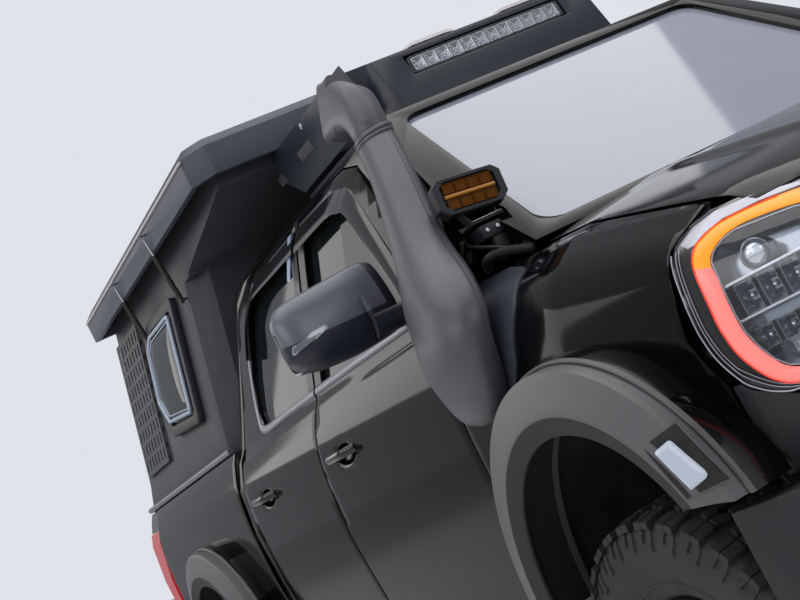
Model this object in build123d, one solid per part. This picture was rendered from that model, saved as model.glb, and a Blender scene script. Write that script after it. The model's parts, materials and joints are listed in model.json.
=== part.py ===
from build123d import *
import math
import os

os.makedirs("parts", exist_ok=True)

# Lifted double-cab off-road 4x4 with a pop-up camper on its load bed.
# Millimetres. +X is forward, +Y is the vehicle's left, +Z is up, and the tyres stand on z = 0.
# x = 0 is halfway between the front and the rear bumper.

# Overall layout
overall_length = 5370.0
wheelbase = 3270.0
front_overhang = 867.0
nose_x = overall_length / 2
tail_x = -overall_length / 2
front_axle_x = nose_x - front_overhang
rear_axle_x = front_axle_x - wheelbase
panel_gap = 6.0
seat_gap = 0.3

# Wheels
tyre_radius = 415.5
tyre_width = 285.0
tyre_shoulder = 34.0
bead_radius = 222.0
rim_width = 236.0
rim_barrel_wall = 9.0
wheel_centre_y = 847.5
wheel_centre_z = tyre_radius
spoke_count = 6
lug_count = 24
lug_height = 11.0
hub_face_offset = 35.0
hub_radius = 76.0
kingpin_y = 745.0
disc_radius = 168.0

# Body levels
sill_z = 590.0
floor_z = 752.0
underfloor_z = 712.0
sill_inner_y = 640.0
belt_z = 1435.0
roof_z = 2054.0
skin_layer = 40.0
flange_overlap = 45.0
flange_gap = 15.0
seal_gap = 4.0
door_thickness = 120.0
frame_thickness = 60.0
rear_wall = 60.0
glass_thickness = 5.0
glass_inset = 14.0

# Body lengths
cab_rear_x = -795.0
bed_front_x = -812.0
bed_rear_x = -2520.0
tailgate_thickness = 62.0
tailgate_hinge_x = -2551.0
tailgate_hinge_z = 955.0
hinge_pin_radius = 8.0
hitch_pin_radius = 8.0
door_front_x = 1256.0
front_door_rear_x = 160.0
rear_door_front_x = 152.0
rear_door_rear_x = -725.0
hood_rear_x = 1578.0
hood_seam_y = 745.0
hood_thickness = 38.0
fender_wall = 52.0

# Wheel arches and flares
arch_centre_z = 663.0
flare_outer_radius = 520.0
flare_inner_radius = 402.0
flare_face_radius = 430.0
flare_outer_y = 1000.0
flare_inner_y = 900.0
arch_radius = 466.0
liner_wall = 8.0
tub_wall_y = 650.0

# Camper
bed_rail_z = 1440.0
camper_base_z = bed_rail_z + seat_gap
camper_wall = 32.0
lid_skirt_z = 2293.0
lid_top_z = 2432.0
lid_half_width = 752.0
lid_front_x = -150.0
lid_rear_x = -2428.0
lid_corner = 78.0
lid_chamfer = 32.0
lid_wall = 26.0


def outline_xz(points, radius=0.0):
    """A closed outline of (x, z) points with rounded corners."""
    path = FilletPolyline(*points, radius=radius, close=True) if radius else Polyline(*points, close=True)
    return make_face(path)


def prism_y(face, y_low, y_high):
    """An (x, z) face carried along Y."""
    return extrude(Plane.XZ.offset(-y_high) * face, amount=y_high - y_low)


def prism_x(face, x_low, x_high):
    """A (y, z) face carried along X."""
    return extrude(Plane.YZ.offset(x_low) * face, amount=x_high - x_low)


def prism_z(face, z_low, z_high):
    """An (x, y) face carried along Z."""
    return extrude(Plane.XY.offset(z_low) * face, amount=z_high - z_low)


def block(x_low, x_high, y_low, y_high, z_low, z_high):
    size = (x_high - x_low, y_high - y_low, z_high - z_low)
    centre = ((x_low + x_high) / 2, (y_low + y_high) / 2, (z_low + z_high) / 2)
    return Pos(*centre) * Box(*size)


def rod_between(start, end, radius):
    """A round bar from one point to another."""
    a = Vector(*start)
    b = Vector(*end)
    plane = Plane(origin=a, z_dir=b - a)
    return extrude(plane * Circle(radius), amount=(b - a).length)


def rod_y(x, z, y_low, y_high, radius):
    return rod_between((x, y_low, z), (x, y_high, z), radius)


def mirrored(shape):
    return mirror(shape, about=Plane.XZ)


def both_sides(shape):
    return solids_of(shape, mirrored(shape))


def solids_of(*shapes):
    """One node made of separate solids."""
    parts = []
    for shape in shapes:
        parts.extend(shape.solids())
    return Compound(children=parts) if len(parts) > 1 else parts[0]


def save(name, shape):
    export_step(shape, "parts/" + name + ".step")


def half_to_full(rows):
    """Rows of (z, half width) from the bottom up, closed by their mirror image."""
    right = [(-y, z) for z, y in rows]
    left = [(y, z) for z, y in reversed(rows) if y > 0]
    return right + left


# Cab section, rows of (z, half width)
cab_rows = [
    (sill_z, 850.0),
    (650.0, 908.0),
    (860.0, 938.0),
    (1130.0, 944.0),
    (1300.0, 925.0),
    (1395.0, 886.0),
    (belt_z, 864.0),
    (1960.0, 655.0),
    (2024.0, 560.0),
    (roof_z - 8.0, 300.0),
    (roof_z, 0.0),
]

# Cab side profile, rows of (x, z)
windscreen_base_x = 1566.0
windscreen_base_z = 1452.0
header_x = 905.0
header_z = 2010.0
cab_side = [
    (cab_rear_x, sill_z),
    (1262.0, sill_z),
    (1350.0, 760.0),
    (1350.0, 1380.0),
    (windscreen_base_x, 1410.0),
    (windscreen_base_x, windscreen_base_z),
    (header_x, header_z),
    (560.0, roof_z - 2.0),
    (-250.0, roof_z - 4.0),
    (-640.0, 2018.0),
    (cab_rear_x + 22.0, belt_z),
    (cab_rear_x, 1400.0),
]


def narrowed(rows, amount):
    """Rows with their upper part taken in, more with height, as the cab tapers to its pillars."""
    result = []
    for z, y in rows:
        share = min(max((z - 1395.0) / (1960.0 - 1395.0), 0.0), 1.0)
        result.append((z, y * (1.0 - amount * (0.35 + 0.65 * share) / 655.0) if z > 1395.0 else y))
    return result


# Cab sections: x, and how far the greenhouse is taken in there
cab_stations = [(-900.0, 22.0), (-300.0, 0.0), (600.0, 0.0), (1600.0, 74.0)]


def section_loft(stations, rows, inset):
    faces = []
    for x, amount in stations:
        face = make_face(Polyline(*half_to_full(narrowed(rows, amount)), close=True))
        if inset:
            face = offset(face, amount=-inset, kind=Kind.INTERSECTION)
        faces.append(Plane.YZ.offset(x) * face)
    return loft(faces, ruled=True)


def cab_solid(inset):
    """The cab's outer form, taken in by an even inset."""
    side = make_face(Polyline(*cab_side, close=True))
    if inset:
        side = offset(side, amount=-inset, kind=Kind.INTERSECTION)
    return section_loft(cab_stations, cab_rows, inset) & prism_y(side, -1200.0, 1200.0)


def cab_hollow():
    """The cabin space: deep door walls below the belt, slim frames above."""
    low_rows = [
        (floor_z, 944.0 - door_thickness),
        (1130.0, 944.0 - door_thickness),
        (belt_z, 864.0 - door_thickness + 40.0),
    ]
    high_rows = [
        (belt_z - 1.0, 864.0 - door_thickness + 40.0),
        (belt_z + 40.0, 850.0 - frame_thickness),
        (1950.0, 655.0 - frame_thickness),
        (2000.0, 540.0 - frame_thickness),
        (roof_z - 36.0, 300.0),
        (roof_z - 30.0, 0.0),
    ]
    side = [
        (cab_rear_x + rear_wall, floor_z),
        (1200.0, floor_z),
        (1290.0, 860.0),
        (1290.0, 1360.0),
        (windscreen_base_x - 90.0, 1430.0),
        (header_x - 14.0, header_z - 40.0),
        (560.0, roof_z - 34.0),
        (-250.0, roof_z - 36.0),
        (-620.0, 1984.0),
        (cab_rear_x + rear_wall + 10.0, belt_z),
        (cab_rear_x + rear_wall, 1380.0),
    ]
    face = make_face(Polyline(*half_to_full(low_rows), close=True))
    space = prism_x(face, -2000.0, 2000.0) + section_loft(cab_stations, high_rows, 0.0)
    return space & prism_y(make_face(Polyline(*side, close=True)), -1200.0, 1200.0)


# Door outlines and window outlines, rows of (x, z)
front_door_outline = [
    (door_front_x, 655.0),
    (door_front_x, 1440.0),
    (1228.0, 1478.0),
    (800.0, 1928.0),
    (700.0, 1956.0),
    (237.0, 1966.0),
    (232.0, 1420.0),
    (190.0, 1240.0),
    (front_door_rear_x, 1000.0),
    (front_door_rear_x, 655.0),
]
rear_door_outline = [
    (rear_door_front_x, 655.0),
    (rear_door_front_x, 1000.0),
    (182.0, 1240.0),
    (222.0, 1420.0),
    (217.0, 1966.0),
    (-430.0, 1952.0),
    (-600.0, 1890.0),
    (-700.0, 1470.0),
    (rear_door_rear_x, 1400.0),
    (rear_door_rear_x, 900.0),
    (-660.0, 655.0),
]
front_window_outline = [
    (1106.0, 1462.0),
    (748.0, 1858.0),
    (640.0, 1908.0),
    (300.0, 1916.0),
    (300.0, 1458.0),
]
rear_window_outline = [
    (156.0, 1458.0),
    (156.0, 1914.0),
    (-330.0, 1900.0),
    (-440.0, 1846.0),
    (-478.0, 1640.0),
    (-450.0, 1510.0),
    (-392.0, 1458.0),
]


def grown(points, amount):
    return offset(make_face(Polyline(*points, close=True)), amount=amount, kind=Kind.INTERSECTION)


def side_prism(face, side):
    """An outline carried through one side of the body, side -1 right or 1 left."""
    return prism_y(face, -1200.0, -30.0) if side < 0 else prism_y(face, 30.0, 1200.0)


cab_outer = cab_solid(0.0)
cab_skin_back = cab_solid(skin_layer)
cab_seal_back = cab_solid(skin_layer + seal_gap)
cab_space = cab_hollow()
cab_shell = cab_outer - cab_space
outer_layer = cab_shell - cab_skin_back
inner_layer = cab_shell & cab_skin_back
glass_layer = cab_solid(glass_inset) - cab_solid(glass_inset + glass_thickness)


cabin_core = block(-2000.0, 2000.0, -944.0 + door_thickness, 944.0 - door_thickness, 500.0, 1380.0)
# Notch in the front door's lower front corner, so that it swings clear of the sill
hinge_relief = block(door_front_x - 66.0, door_front_x + 10.0, -870.0, -800.0, 640.0, 682.0)


def make_handle(x, z, side):
    """A strap handle on two feet over a shallow cup."""
    handle_y = side * 941.0
    length = 196.0
    strap = Pos(x, handle_y + side * 38.0, z) * Box(length, 16.0, 30.0)
    strap = chamfer(strap.edges(), 4.0)
    feet = [Pos(x + dx, handle_y + side * 12.0, z) * Box(24.0, 44.0, 24.0) for dx in (-78.0, 78.0)]
    return strap + feet[0] + feet[1]


def make_door(outline, window, side, handle_x):
    outer = outer_layer & side_prism(grown(outline, 0.0), side)
    inner = inner_layer & side_prism(grown(outline, -flange_overlap), side)
    door = outer + inner
    door = door - side_prism(grown(window, 0.0), side)
    door = door - cabin_core - hinge_relief - mirrored(hinge_relief)
    return door + make_handle(handle_x, 1236.0, side)


def make_door_glass(window, side):
    return glass_layer & side_prism(grown(window, -seat_gap), side)


def door_opening(outline, side):
    cut = (cab_shell - cab_seal_back) & side_prism(grown(outline, panel_gap), side)
    deep = side_prism(grown(outline, -flange_overlap + flange_gap), side) - cabin_core
    return cut, deep


# Front end sections, rows of (z, half width) at each x
nose_sections = [
    (1200.0, [(620.0, 880.0), (860.0, 938.0), (1120.0, 944.0), (1290.0, 925.0), (1384.0, 880.0),
              (1434.0, 800.0), (1466.0, 700.0), (1500.0, 350.0), (1508.0, 0.0)]),
    (1818.0, [(620.0, 880.0), (860.0, 938.0), (1100.0, 944.0), (1240.0, 925.0), (1330.0, 875.0),
              (1384.0, 800.0), (1414.0, 700.0), (1446.0, 350.0), (1456.0, 0.0)]),
    (2300.0, [(620.0, 850.0), (860.0, 895.0), (1050.0, 900.0), (1180.0, 884.0), (1246.0, 850.0),
              (1288.0, 780.0), (1322.0, 690.0), (1362.0, 350.0), (1376.0, 0.0)]),
    (2632.0, [(620.0, 660.0), (860.0, 700.0), (1050.0, 704.0), (1150.0, 690.0), (1200.0, 660.0),
              (1232.0, 600.0), (1256.0, 530.0), (1292.0, 290.0), (1306.0, 0.0)]),
]


def nose_solid(inset):
    faces = []
    for x, rows in nose_sections:
        face = make_face(Polyline(*half_to_full(rows), close=True))
        if inset:
            face = offset(face, amount=-inset, kind=Kind.INTERSECTION)
        faces.append(Plane.YZ.offset(x) * face)
    return loft(faces, ruled=True)


nose_outer = nose_solid(0.0)
nose_inner = nose_solid(fender_wall)
hood_under = Pos(0.0, 0.0, -hood_thickness) * nose_outer

# The bonnet's plan outline, rows of (x, y) on the right side
hood_plan = [
    (hood_rear_x, 0.0),
    (hood_rear_x, -700.0),
    (2380.0, -hood_seam_y),
    (2500.0, -640.0),
    (2590.0, -400.0),
    (2612.0, 0.0),
]


def plan_face(rows, grow=0.0):
    points = rows + [(x, -y) for x, y in reversed(rows) if y < 0]
    face = make_face(Polyline(*points, close=True))
    return offset(face, amount=grow, kind=Kind.INTERSECTION) if grow else face


bonnet = (nose_outer - hood_under) & prism_z(plan_face(hood_plan), 1100.0, 1600.0)
hood_front_gap = 16.0
hood_gap = prism_z(plan_face(hood_plan, panel_gap), 1180.0, 1700.0)
hood_opening = hood_gap + Pos(hood_front_gap - panel_gap, 0.0, 0.0) * hood_gap

# Headlight outline seen from the side, rows of (x, z)
headlight_outline = [
    (2214.0, 1101.0),
    (2226.0, 1178.0),
    (2228.0, 1262.0),
    (2262.0, 1302.0),
    (2420.0, 1310.0),
    (2660.0, 1310.0),
    (2660.0, 940.0),
    (2369.0, 939.0),
    (2301.0, 979.0),
    (2237.0, 1038.0),
]
lamp_inner_y = 430.0


def arch_cylinder(axle_x, radius, y_low, y_high):
    return rod_y(axle_x, arch_centre_z, y_low, y_high, radius)


def make_fenders():
    shell = nose_outer - nose_inner
    shell = shell - hood_opening
    side = shell & block(door_front_x + panel_gap, 2640.0, -960.0, -lamp_inner_y, 830.0, 1500.0)
    side = side - arch_cylinder(front_axle_x, arch_radius, -1200.0, -300.0)
    lamp = prism_y(grown(headlight_outline, panel_gap), -1200.0, -300.0)
    side = side - lamp
    side = side - block(2255.0, 2700.0, -1200.0, -300.0, 600.0, 1000.0)
    side = side - block(1200.0, hood_rear_x, -706.0, 0.0, 1000.0, 1600.0)
    side = side - block(1200.0, 1600.0, -1000.0, 0.0, 1444.0, 1600.0)
    lower = shell & block(door_front_x + panel_gap, 1450.0, -960.0, -850.0, 640.0, 830.0)
    lower = lower - arch_cylinder(front_axle_x, arch_radius, -1200.0, -300.0)
    return both_sides(side + lower)


def make_headlights():
    body = (nose_outer - nose_inner) & prism_y(grown(headlight_outline, 0.0), -1200.0, -lamp_inner_y)
    return both_sides(body - hood_opening)


def make_grille():
    """A frame with two cross bars and upright slats between the headlights."""
    half_width = lamp_inner_y - panel_gap
    front_x = 2630.0
    frame = block(2560.0, front_x, -half_width, half_width, 900.3, 1245.0)
    frame = frame - block(2500.0, 2700.0, -half_width + 36.0, half_width - 36.0, 941.0, 1209.0)
    bars = [block(2575.0, front_x, -half_width + 30.0, half_width - 30.0, z, z + 34.0) for z in (1010.0, 1100.0)]
    slats = []
    slat_count = 13
    pitch = (2 * half_width - 72.0) / (slat_count + 1)
    for index in range(slat_count):
        y = -half_width + 36.0 + pitch * (index + 1)
        slats.append(block(2585.0, front_x - 12.0, y - 5.0, y + 5.0, 935.0, 1215.0))
    grille = frame
    for piece in bars + slats:
        grille = grille + piece
    return grille


# Bumper plan, rows of (x, y) on the right side, outer edge then inner edge
bumper_outer = [(2212.0, -1002.0), (2380.0, -940.0), (2560.0, -800.0), (nose_x, -560.0), (nose_x, 0.0)]
bumper_inner = [(2600.0, 0.0), (2600.0, -520.0), (2490.0, -740.0), (2330.0, -868.0), (2240.0, -942.0)]


def make_front_bumper():
    rows = bumper_outer + bumper_inner
    wall = make_face(Polyline(*rows, close=True))
    half = prism_z(wall, 560.0, 794.0)
    top = make_face(Polyline(*(bumper_outer + [(2560.0, 0.0), (2560.0, -500.0), (2440.0, -700.0), (2300.0, -840.0)]),
                             close=True))
    half = half + prism_z(top, 774.0, 794.0)
    corner = (nose_outer - nose_inner) & block(2260.0, 2640.0, -960.0, -lamp_inner_y, 806.0, 990.0)
    corner = corner - prism_y(grown(headlight_outline, panel_gap), -1200.0, -300.0)
    corner = corner - arch_cylinder(front_axle_x, arch_radius, -1200.0, -300.0)
    corner = corner + block(2330.0, 2420.0, -840.0, -790.0, 784.0, 850.0)
    bumper = half + mirrored(half)
    centre = block(2560.0, 2640.0, -lamp_inner_y - 10.0, lamp_inner_y + 10.0, 790.0, 900.0)
    return bumper + corner + mirrored(corner) + centre


def flare_profile():
    """Rows of (radius, distance outwards) of the moulded lip."""
    rows = [
        (flare_outer_radius, flare_inner_y),
        (flare_outer_radius, flare_outer_y - 10.0),
        (flare_outer_radius - 8.0, flare_outer_y),
        (flare_face_radius, flare_outer_y),
        (flare_inner_radius, flare_inner_y + 30.0),
        (flare_inner_radius, flare_inner_y + 14.0),
        (flare_face_radius + 6.0, flare_inner_y + 8.0),
        (arch_radius + 2.0, flare_inner_y),
    ]
    return rows


def make_flare(axle_x, start_angle, sweep):
    """The lip turned about the arch's centre line, on the right side."""
    rows = flare_profile()
    points = [(radius, -y) for radius, y in rows]
    face = Plane(origin=(axle_x, 0.0, arch_centre_z), x_dir=(1, 0, 0), z_dir=(0, 0, 1)) * make_face(
        Polyline(*points, close=True))
    axis = Axis((axle_x, 0.0, arch_centre_z), (0, -1, 0))
    flare = revolve(face, axis=axis, revolution_arc=sweep)
    return flare.rotate(axis, start_angle)


def make_flares():
    front = make_flare(front_axle_x, 20.0, 162.0)
    front = front - (nose_solid(-seat_gap) - arch_cylinder(front_axle_x, arch_radius - seat_gap, -1200.0, -300.0))
    rear = make_flare(rear_axle_x, -4.0, 188.0)
    rear = rear - (bed_solid(-seat_gap) - arch_cylinder(rear_axle_x, arch_radius - seat_gap, -1200.0, -300.0))
    return solids_of(front, mirrored(front), rear, mirrored(rear))


def make_liner(axle_x, start_angle, sweep, y_inner, y_outer):
    outer = arch_radius - seat_gap
    ring = rod_y(axle_x, arch_centre_z, -y_outer, -y_inner, outer)
    ring = ring - rod_y(axle_x, arch_centre_z, -y_outer - 1.0, -y_inner + 1.0, outer - liner_wall)
    keep = make_face(Polyline(*sector(axle_x, start_angle, sweep, 700.0), close=True))
    return ring & prism_y(keep, -1100.0, -100.0)


def sector(axle_x, start_angle, sweep, radius):
    points = [(axle_x, arch_centre_z)]
    steps = 6
    for index in range(steps + 1):
        angle = math.radians(start_angle + sweep * index / steps)
        points.append((axle_x + radius * math.cos(angle), arch_centre_z + radius * math.sin(angle)))
    return points


def make_liners():
    front = make_liner(front_axle_x, 12.0, 172.0, 560.0, 895.0)
    rear = make_liner(rear_axle_x, 0.0, 180.0, tub_wall_y + seat_gap, 880.0)
    return solids_of(front, mirrored(front), rear, mirrored(rear))


def make_cab_body():
    body = cab_shell
    body = body - block(door_front_x, 2000.0, -1200.0, -560.0, 500.0, 1450.0)
    body = body - block(door_front_x, 2000.0, 560.0, 1200.0, 500.0, 1450.0)
    body = body - block(-2000.0, 2000.0, -sill_inner_y, sill_inner_y, 500.0, underfloor_z)
    body = body - block(1380.0, 2000.0, -1200.0, -705.0, 500.0, 1720.0)
    body = body - block(1380.0, 2000.0, 705.0, 1200.0, 500.0, 1720.0)
    for side in (-1, 1):
        for outline in (front_door_outline, rear_door_outline):
            cut, deep = door_opening(outline, side)
            body = body - cut - deep
    body = body + make_aprons()
    screen = windscreen_prism(0.0)
    body = body - screen
    body = body - rear_window_prism(0.0)
    floor_seam = block(-2000.0, 2000.0, -1200.0, 1200.0, floor_z, floor_z + seat_gap)
    sill_seam = block(-2000.0, 2000.0, sill_inner_y, sill_inner_y + seat_gap, 500.0, floor_z + seat_gap)
    return body - floor_seam - sill_seam - mirrored(sill_seam)


def make_aprons():
    """Inner wings and the lamp carrier that hold the panels ahead of the firewall."""
    under_skin = nose_solid(fender_wall + seat_gap)
    beam = under_skin & block(1340.0, 2300.0, -800.0, -715.0, 1112.0, 1500.0)
    tie = under_skin & block(1340.0, 1420.0, -800.0, -400.0, 1112.0, 1380.0)
    carrier = under_skin & block(2440.0, 2560.0 - seat_gap, -800.0, 0.0, 1140.0, 1238.0)
    link = under_skin & block(2280.0, 2460.0, -740.0, -640.0, 1120.0, 1190.0)
    half = beam + tie + carrier + link
    half = half - hood_gap - arch_cylinder(front_axle_x, arch_radius, -1200.0, -300.0)
    pad = block(1440.0, 1612.0, -650.0, -610.0, 1370.0, 1500.0)
    pad = pad & (Pos(0.0, 0.0, -hood_thickness - seat_gap) * nose_outer)
    pad_arm = under_skin & block(1440.0, 1560.0, -760.0, -610.0, 1350.0, 1500.0)
    half = half + pad + pad_arm
    return half + mirrored(half)


windscreen_corner_y = (530.0, 640.0)
windscreen_margin = 46.0


def windscreen_prism(shrink):
    """The opening for the windscreen, square to the glass."""
    slope = math.atan2(header_z - windscreen_base_z, windscreen_base_x - header_x)
    length = math.hypot(header_z - windscreen_base_z, windscreen_base_x - header_x)
    origin = (windscreen_base_x, 0.0, windscreen_base_z)
    plane = Plane(origin=origin, x_dir=(0, 1, 0), z_dir=(math.sin(slope), 0, math.cos(slope)))
    top_y, base_y = windscreen_corner_y
    low = windscreen_margin
    high = length - windscreen_margin
    points = [(-base_y, low), (base_y, low), (top_y, high), (-top_y, high)]
    face = make_face(FilletPolyline(*points, radius=60.0, close=True))
    if shrink:
        face = offset(face, amount=-shrink)
    return extrude(plane * face, amount=120.0, both=True)


def rear_window_prism(shrink):
    points = [(-600.0, 1490.0), (600.0, 1490.0), (520.0, 1900.0), (-520.0, 1900.0)]
    face = make_face(FilletPolyline(*points, radius=50.0, close=True))
    if shrink:
        face = offset(face, amount=-shrink)
    return prism_x(face, -1000.0, -500.0)


def make_cab_glass():
    side = make_face(Polyline(*cab_side, close=True))
    outer = offset(side, amount=-glass_inset, kind=Kind.INTERSECTION)
    inner = offset(side, amount=-glass_inset - glass_thickness, kind=Kind.INTERSECTION)
    layer = prism_y(outer, -700.0, 700.0) - prism_y(inner, -701.0, 701.0)
    front = layer & windscreen_prism(seat_gap) & block(800.0, 1700.0, -700.0, 700.0, 1440.0, 2100.0)
    rear = layer & rear_window_prism(seat_gap)
    return solids_of(front, rear)


# Frame rail side view, rows of (x, z)
rail_profile = [
    (2600.0 - seat_gap, 620.0),
    (2600.0 - seat_gap, 720.0),
    (1500.0, 720.0),
    (1250.0, 700.0),
    (-805.0, 700.0),
    (-1055.0, 850.0),
    (bed_rear_x - 20.0 + seat_gap, 850.0),
    (bed_rear_x - 20.0 + seat_gap, 750.0),
    (-1010.0, 750.0),
    (-740.0, 600.0),
    (1250.0, 600.0),
    (1500.0, 620.0),
]
rail_inner_y = 392.0
rail_outer_y = 468.0

# Leaf springs
leaf_low_z = 458.0
leaf_bow = 118.0
leaf_stack = 34.0
leaf_half_length = 620.0
leaf_end_z = leaf_low_z + leaf_bow + leaf_stack


def make_chassis():
    """Ladder frame with cross members, body mounts, spring hangers and strut towers."""
    half = prism_y(make_face(Polyline(*rail_profile, close=True)), -rail_outer_y, -rail_inner_y)
    for x in (-500.0, 200.0, 900.0):
        half = half + block(x - 45.0, x + 45.0, -rail_outer_y, -rail_inner_y, 690.0, underfloor_z - seat_gap)
    for x in (-2400.0, -1800.0, -1100.0):
        half = half + block(x - 35.0, x + 35.0, -rail_outer_y, -rail_inner_y, 840.0, 890.0 - seat_gap)
    half = half + block(front_axle_x - 85.0, front_axle_x + 85.0, -575.0, -rail_inner_y, 800.3, 880.0)
    half = half + block(front_axle_x - 85.0, front_axle_x + 85.0, -482.0, -rail_inner_y, 710.0, 880.0)
    half = half + block(1780.0, 1880.0, -rail_inner_y - 1.0, -300.0 - seat_gap, 650.0, 700.0)
    for x, high in ((rear_axle_x + 625.0, 690.0), (rear_axle_x - 625.0, 790.0)):
        half = half + block(x - 26.0, x + 26.0, -560.0, -rail_outer_y + 1.0, leaf_end_z + seat_gap, high)
    chassis = half + mirrored(half)
    for x, low in ((-2480.0, 760.0), (-1900.0, 760.0), (-1100.0, 760.0), (-220.0, 645.0), (460.0, 640.0), (2440.0, 640.0)):
        chassis = chassis + block(x - 30.0, x + 30.0, -rail_inner_y - 4.0, rail_inner_y + 4.0, low, low + 50.0)
    return chassis


def make_engine():
    return block(1480.0, 2160.0, -300.0, 300.0, 640.0, 1180.0)


def make_driveline():
    gearbox = rod_between((1480.0 - seat_gap, 0.0, 600.0), (760.0, 0.0, 590.0), 105.0)
    transfer = block(560.0, 770.0, -170.0, 130.0, 500.0, 690.0)
    shaft = rod_between((570.0, 0.0, 560.0), (rear_axle_x + 175.0, 0.0, 430.0), 34.0)
    front_shaft = rod_between((600.0, -150.0, 540.0), (front_axle_x - 230.0, -150.0, 480.0), 24.0)
    pipe = rod_between((1479.0, 300.0, 560.0), (-300.0, 300.0, 560.0), 30.0)
    box = rod_between((-300.0, 300.0, 560.0), (-760.0, 300.0, 560.0), 84.0)
    tail = rod_between((-760.0, 300.0, 560.0), (-1000.0, 300.0, 560.0), 28.0)
    exhaust = pipe + box + tail
    for x in (1000.0, 0.0, -700.0):
        exhaust = exhaust + block(x - 12.0, x + 12.0, 285.0, rail_inner_y - seat_gap, 575.0, 650.0)
    return solids_of(gearbox + transfer + shaft, exhaust)


def make_front_suspension():
    """Cross beam, differential, drive shafts, lower arms and spring legs."""
    x = front_axle_x
    arm_tip = (x, -kingpin_y, 290.0)
    arm = rod_between((x + 180.0, -380.0, 520.0), arm_tip, 24.0) + rod_between((x - 180.0, -380.0, 520.0), arm_tip, 24.0)
    arm = arm + rod_between((x, -kingpin_y, 266.0), (x, -kingpin_y, wheel_centre_z - 70.0 - seat_gap), 26.0)
    halfshaft = rod_between((x, -140.0, wheel_centre_z + 40.0), (x, -kingpin_y + 42.0, wheel_centre_z), 20.0)
    leg = rod_between((x, -600.0, 372.0), (x, -535.0, 793.0), 44.0)
    half = arm + halfshaft + leg
    beam = block(x - 230.0, x + 230.0, -rail_outer_y, rail_outer_y, 500.0, 620.0 - seat_gap)
    beam = beam - block(x - 120.0, x + 120.0, -700.0, 700.0, 400.0, 590.0)
    diff = rod_y(x, wheel_centre_z + 40.0, -150.0, 150.0, 105.0)
    hanger = block(x - 60.0, x + 60.0, -60.0, 60.0, 540.0, 600.0)
    return beam + half + mirrored(half) + diff + hanger


def leaf_outline(x, low_z, bow, half_length, thickness):
    """A bowed leaf pack seen from the side, its ends higher than its middle."""
    lower = ThreePointArc((x - half_length, low_z + bow), (x, low_z), (x + half_length, low_z + bow))
    upper = ThreePointArc((x + half_length, low_z + bow + thickness), (x, low_z + thickness),
                          (x - half_length, low_z + bow + thickness))
    ends = Line(lower @ 1, upper @ 0) + Line(upper @ 1, lower @ 0)
    return make_face(lower + upper + ends)


def make_rear_axle():
    """Live axle with its differential, brake drums and bowed leaf springs."""
    hub_end = wheel_centre_y + hub_face_offset - seat_gap
    tube = rod_y(rear_axle_x, wheel_centre_z, -hub_end, hub_end, 46.0)
    axle = tube + rod_y(rear_axle_x + 25.0, wheel_centre_z, -110.0, 110.0, 145.0)
    spring = prism_y(leaf_outline(rear_axle_x, leaf_low_z, leaf_bow, leaf_half_length, leaf_stack), -556.0, -486.0)
    seat = block(rear_axle_x - 60.0, rear_axle_x + 60.0, -560.0, -482.0, 430.0, 500.0)
    drum = rod_y(rear_axle_x, wheel_centre_z, -858.0, -776.0, 150.0)
    half = spring + seat + drum
    return axle + half + mirrored(half)


def make_tyre(side):
    half = tyre_width / 2
    rows = [
        (bead_radius, -half + 46.0),
        (bead_radius + 30.0, -half + 14.0),
        (330.0, -half),
        (tyre_radius - 42.0, -half + 6.0),
        (tyre_radius - lug_height, -half + tyre_shoulder),
        (tyre_radius - lug_height, half - tyre_shoulder),
        (tyre_radius - 42.0, half - 6.0),
        (330.0, half),
        (bead_radius + 30.0, half - 14.0),
        (bead_radius, half - 46.0),
    ]
    face = make_face(Polyline(*[(radius, y) for radius, y in rows], close=True))
    tyre = revolve(face, axis=Axis.Y)
    lug = block(tyre_radius - 30.0, tyre_radius, -half + 24.0, half - 24.0, -22.0, 22.0)
    for index in range(lug_count):
        tyre = tyre + lug.rotate(Axis.Y, index * 360.0 / lug_count)
    return tyre


def make_rim(side):
    """Barrel, six spokes and a hub plate with its stud circle facing outwards."""
    half = rim_width / 2
    outer = bead_radius - seat_gap
    barrel = rod_y(0.0, 0.0, -half, half, outer) - rod_y(0.0, 0.0, -half - 1.0, half + 1.0, outer - rim_barrel_wall)
    hub = rod_y(0.0, 0.0, hub_face_offset, hub_face_offset + 46.0, hub_radius)
    rim = barrel + hub
    for index in range(spoke_count):
        spoke = block(40.0, outer - 3.0, hub_face_offset + 8.0, hub_face_offset + 40.0, -26.0, 26.0)
        rim = rim + spoke.rotate(Axis.Y, index * 360.0 / spoke_count + 30.0)
    return rim


def make_knuckle():
    """Upright, hub and brake disc of the right front wheel, about the wheel's centre."""
    inner = wheel_centre_y - kingpin_y
    upright = rod_between((0.0, inner, -70.0), (0.0, inner, 70.0), 40.0)
    disc = rod_y(0.0, 0.0, -10.0, 18.0, disc_radius)
    hub = rod_y(0.0, 0.0, -hub_face_offset + seat_gap, inner, 52.0)
    arm = rod_between((0.0, inner, -40.0), (-150.0, inner + 20.0, -40.0), 16.0)
    return upright + disc + hub + arm


def place_wheel(shape, x, side):
    """Wheel parts are modelled facing +Y and turned to face outwards."""
    turned = shape if side > 0 else mirror(shape, about=Plane.XZ)
    return Pos(x, side * wheel_centre_y, wheel_centre_z) * turned


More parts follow.
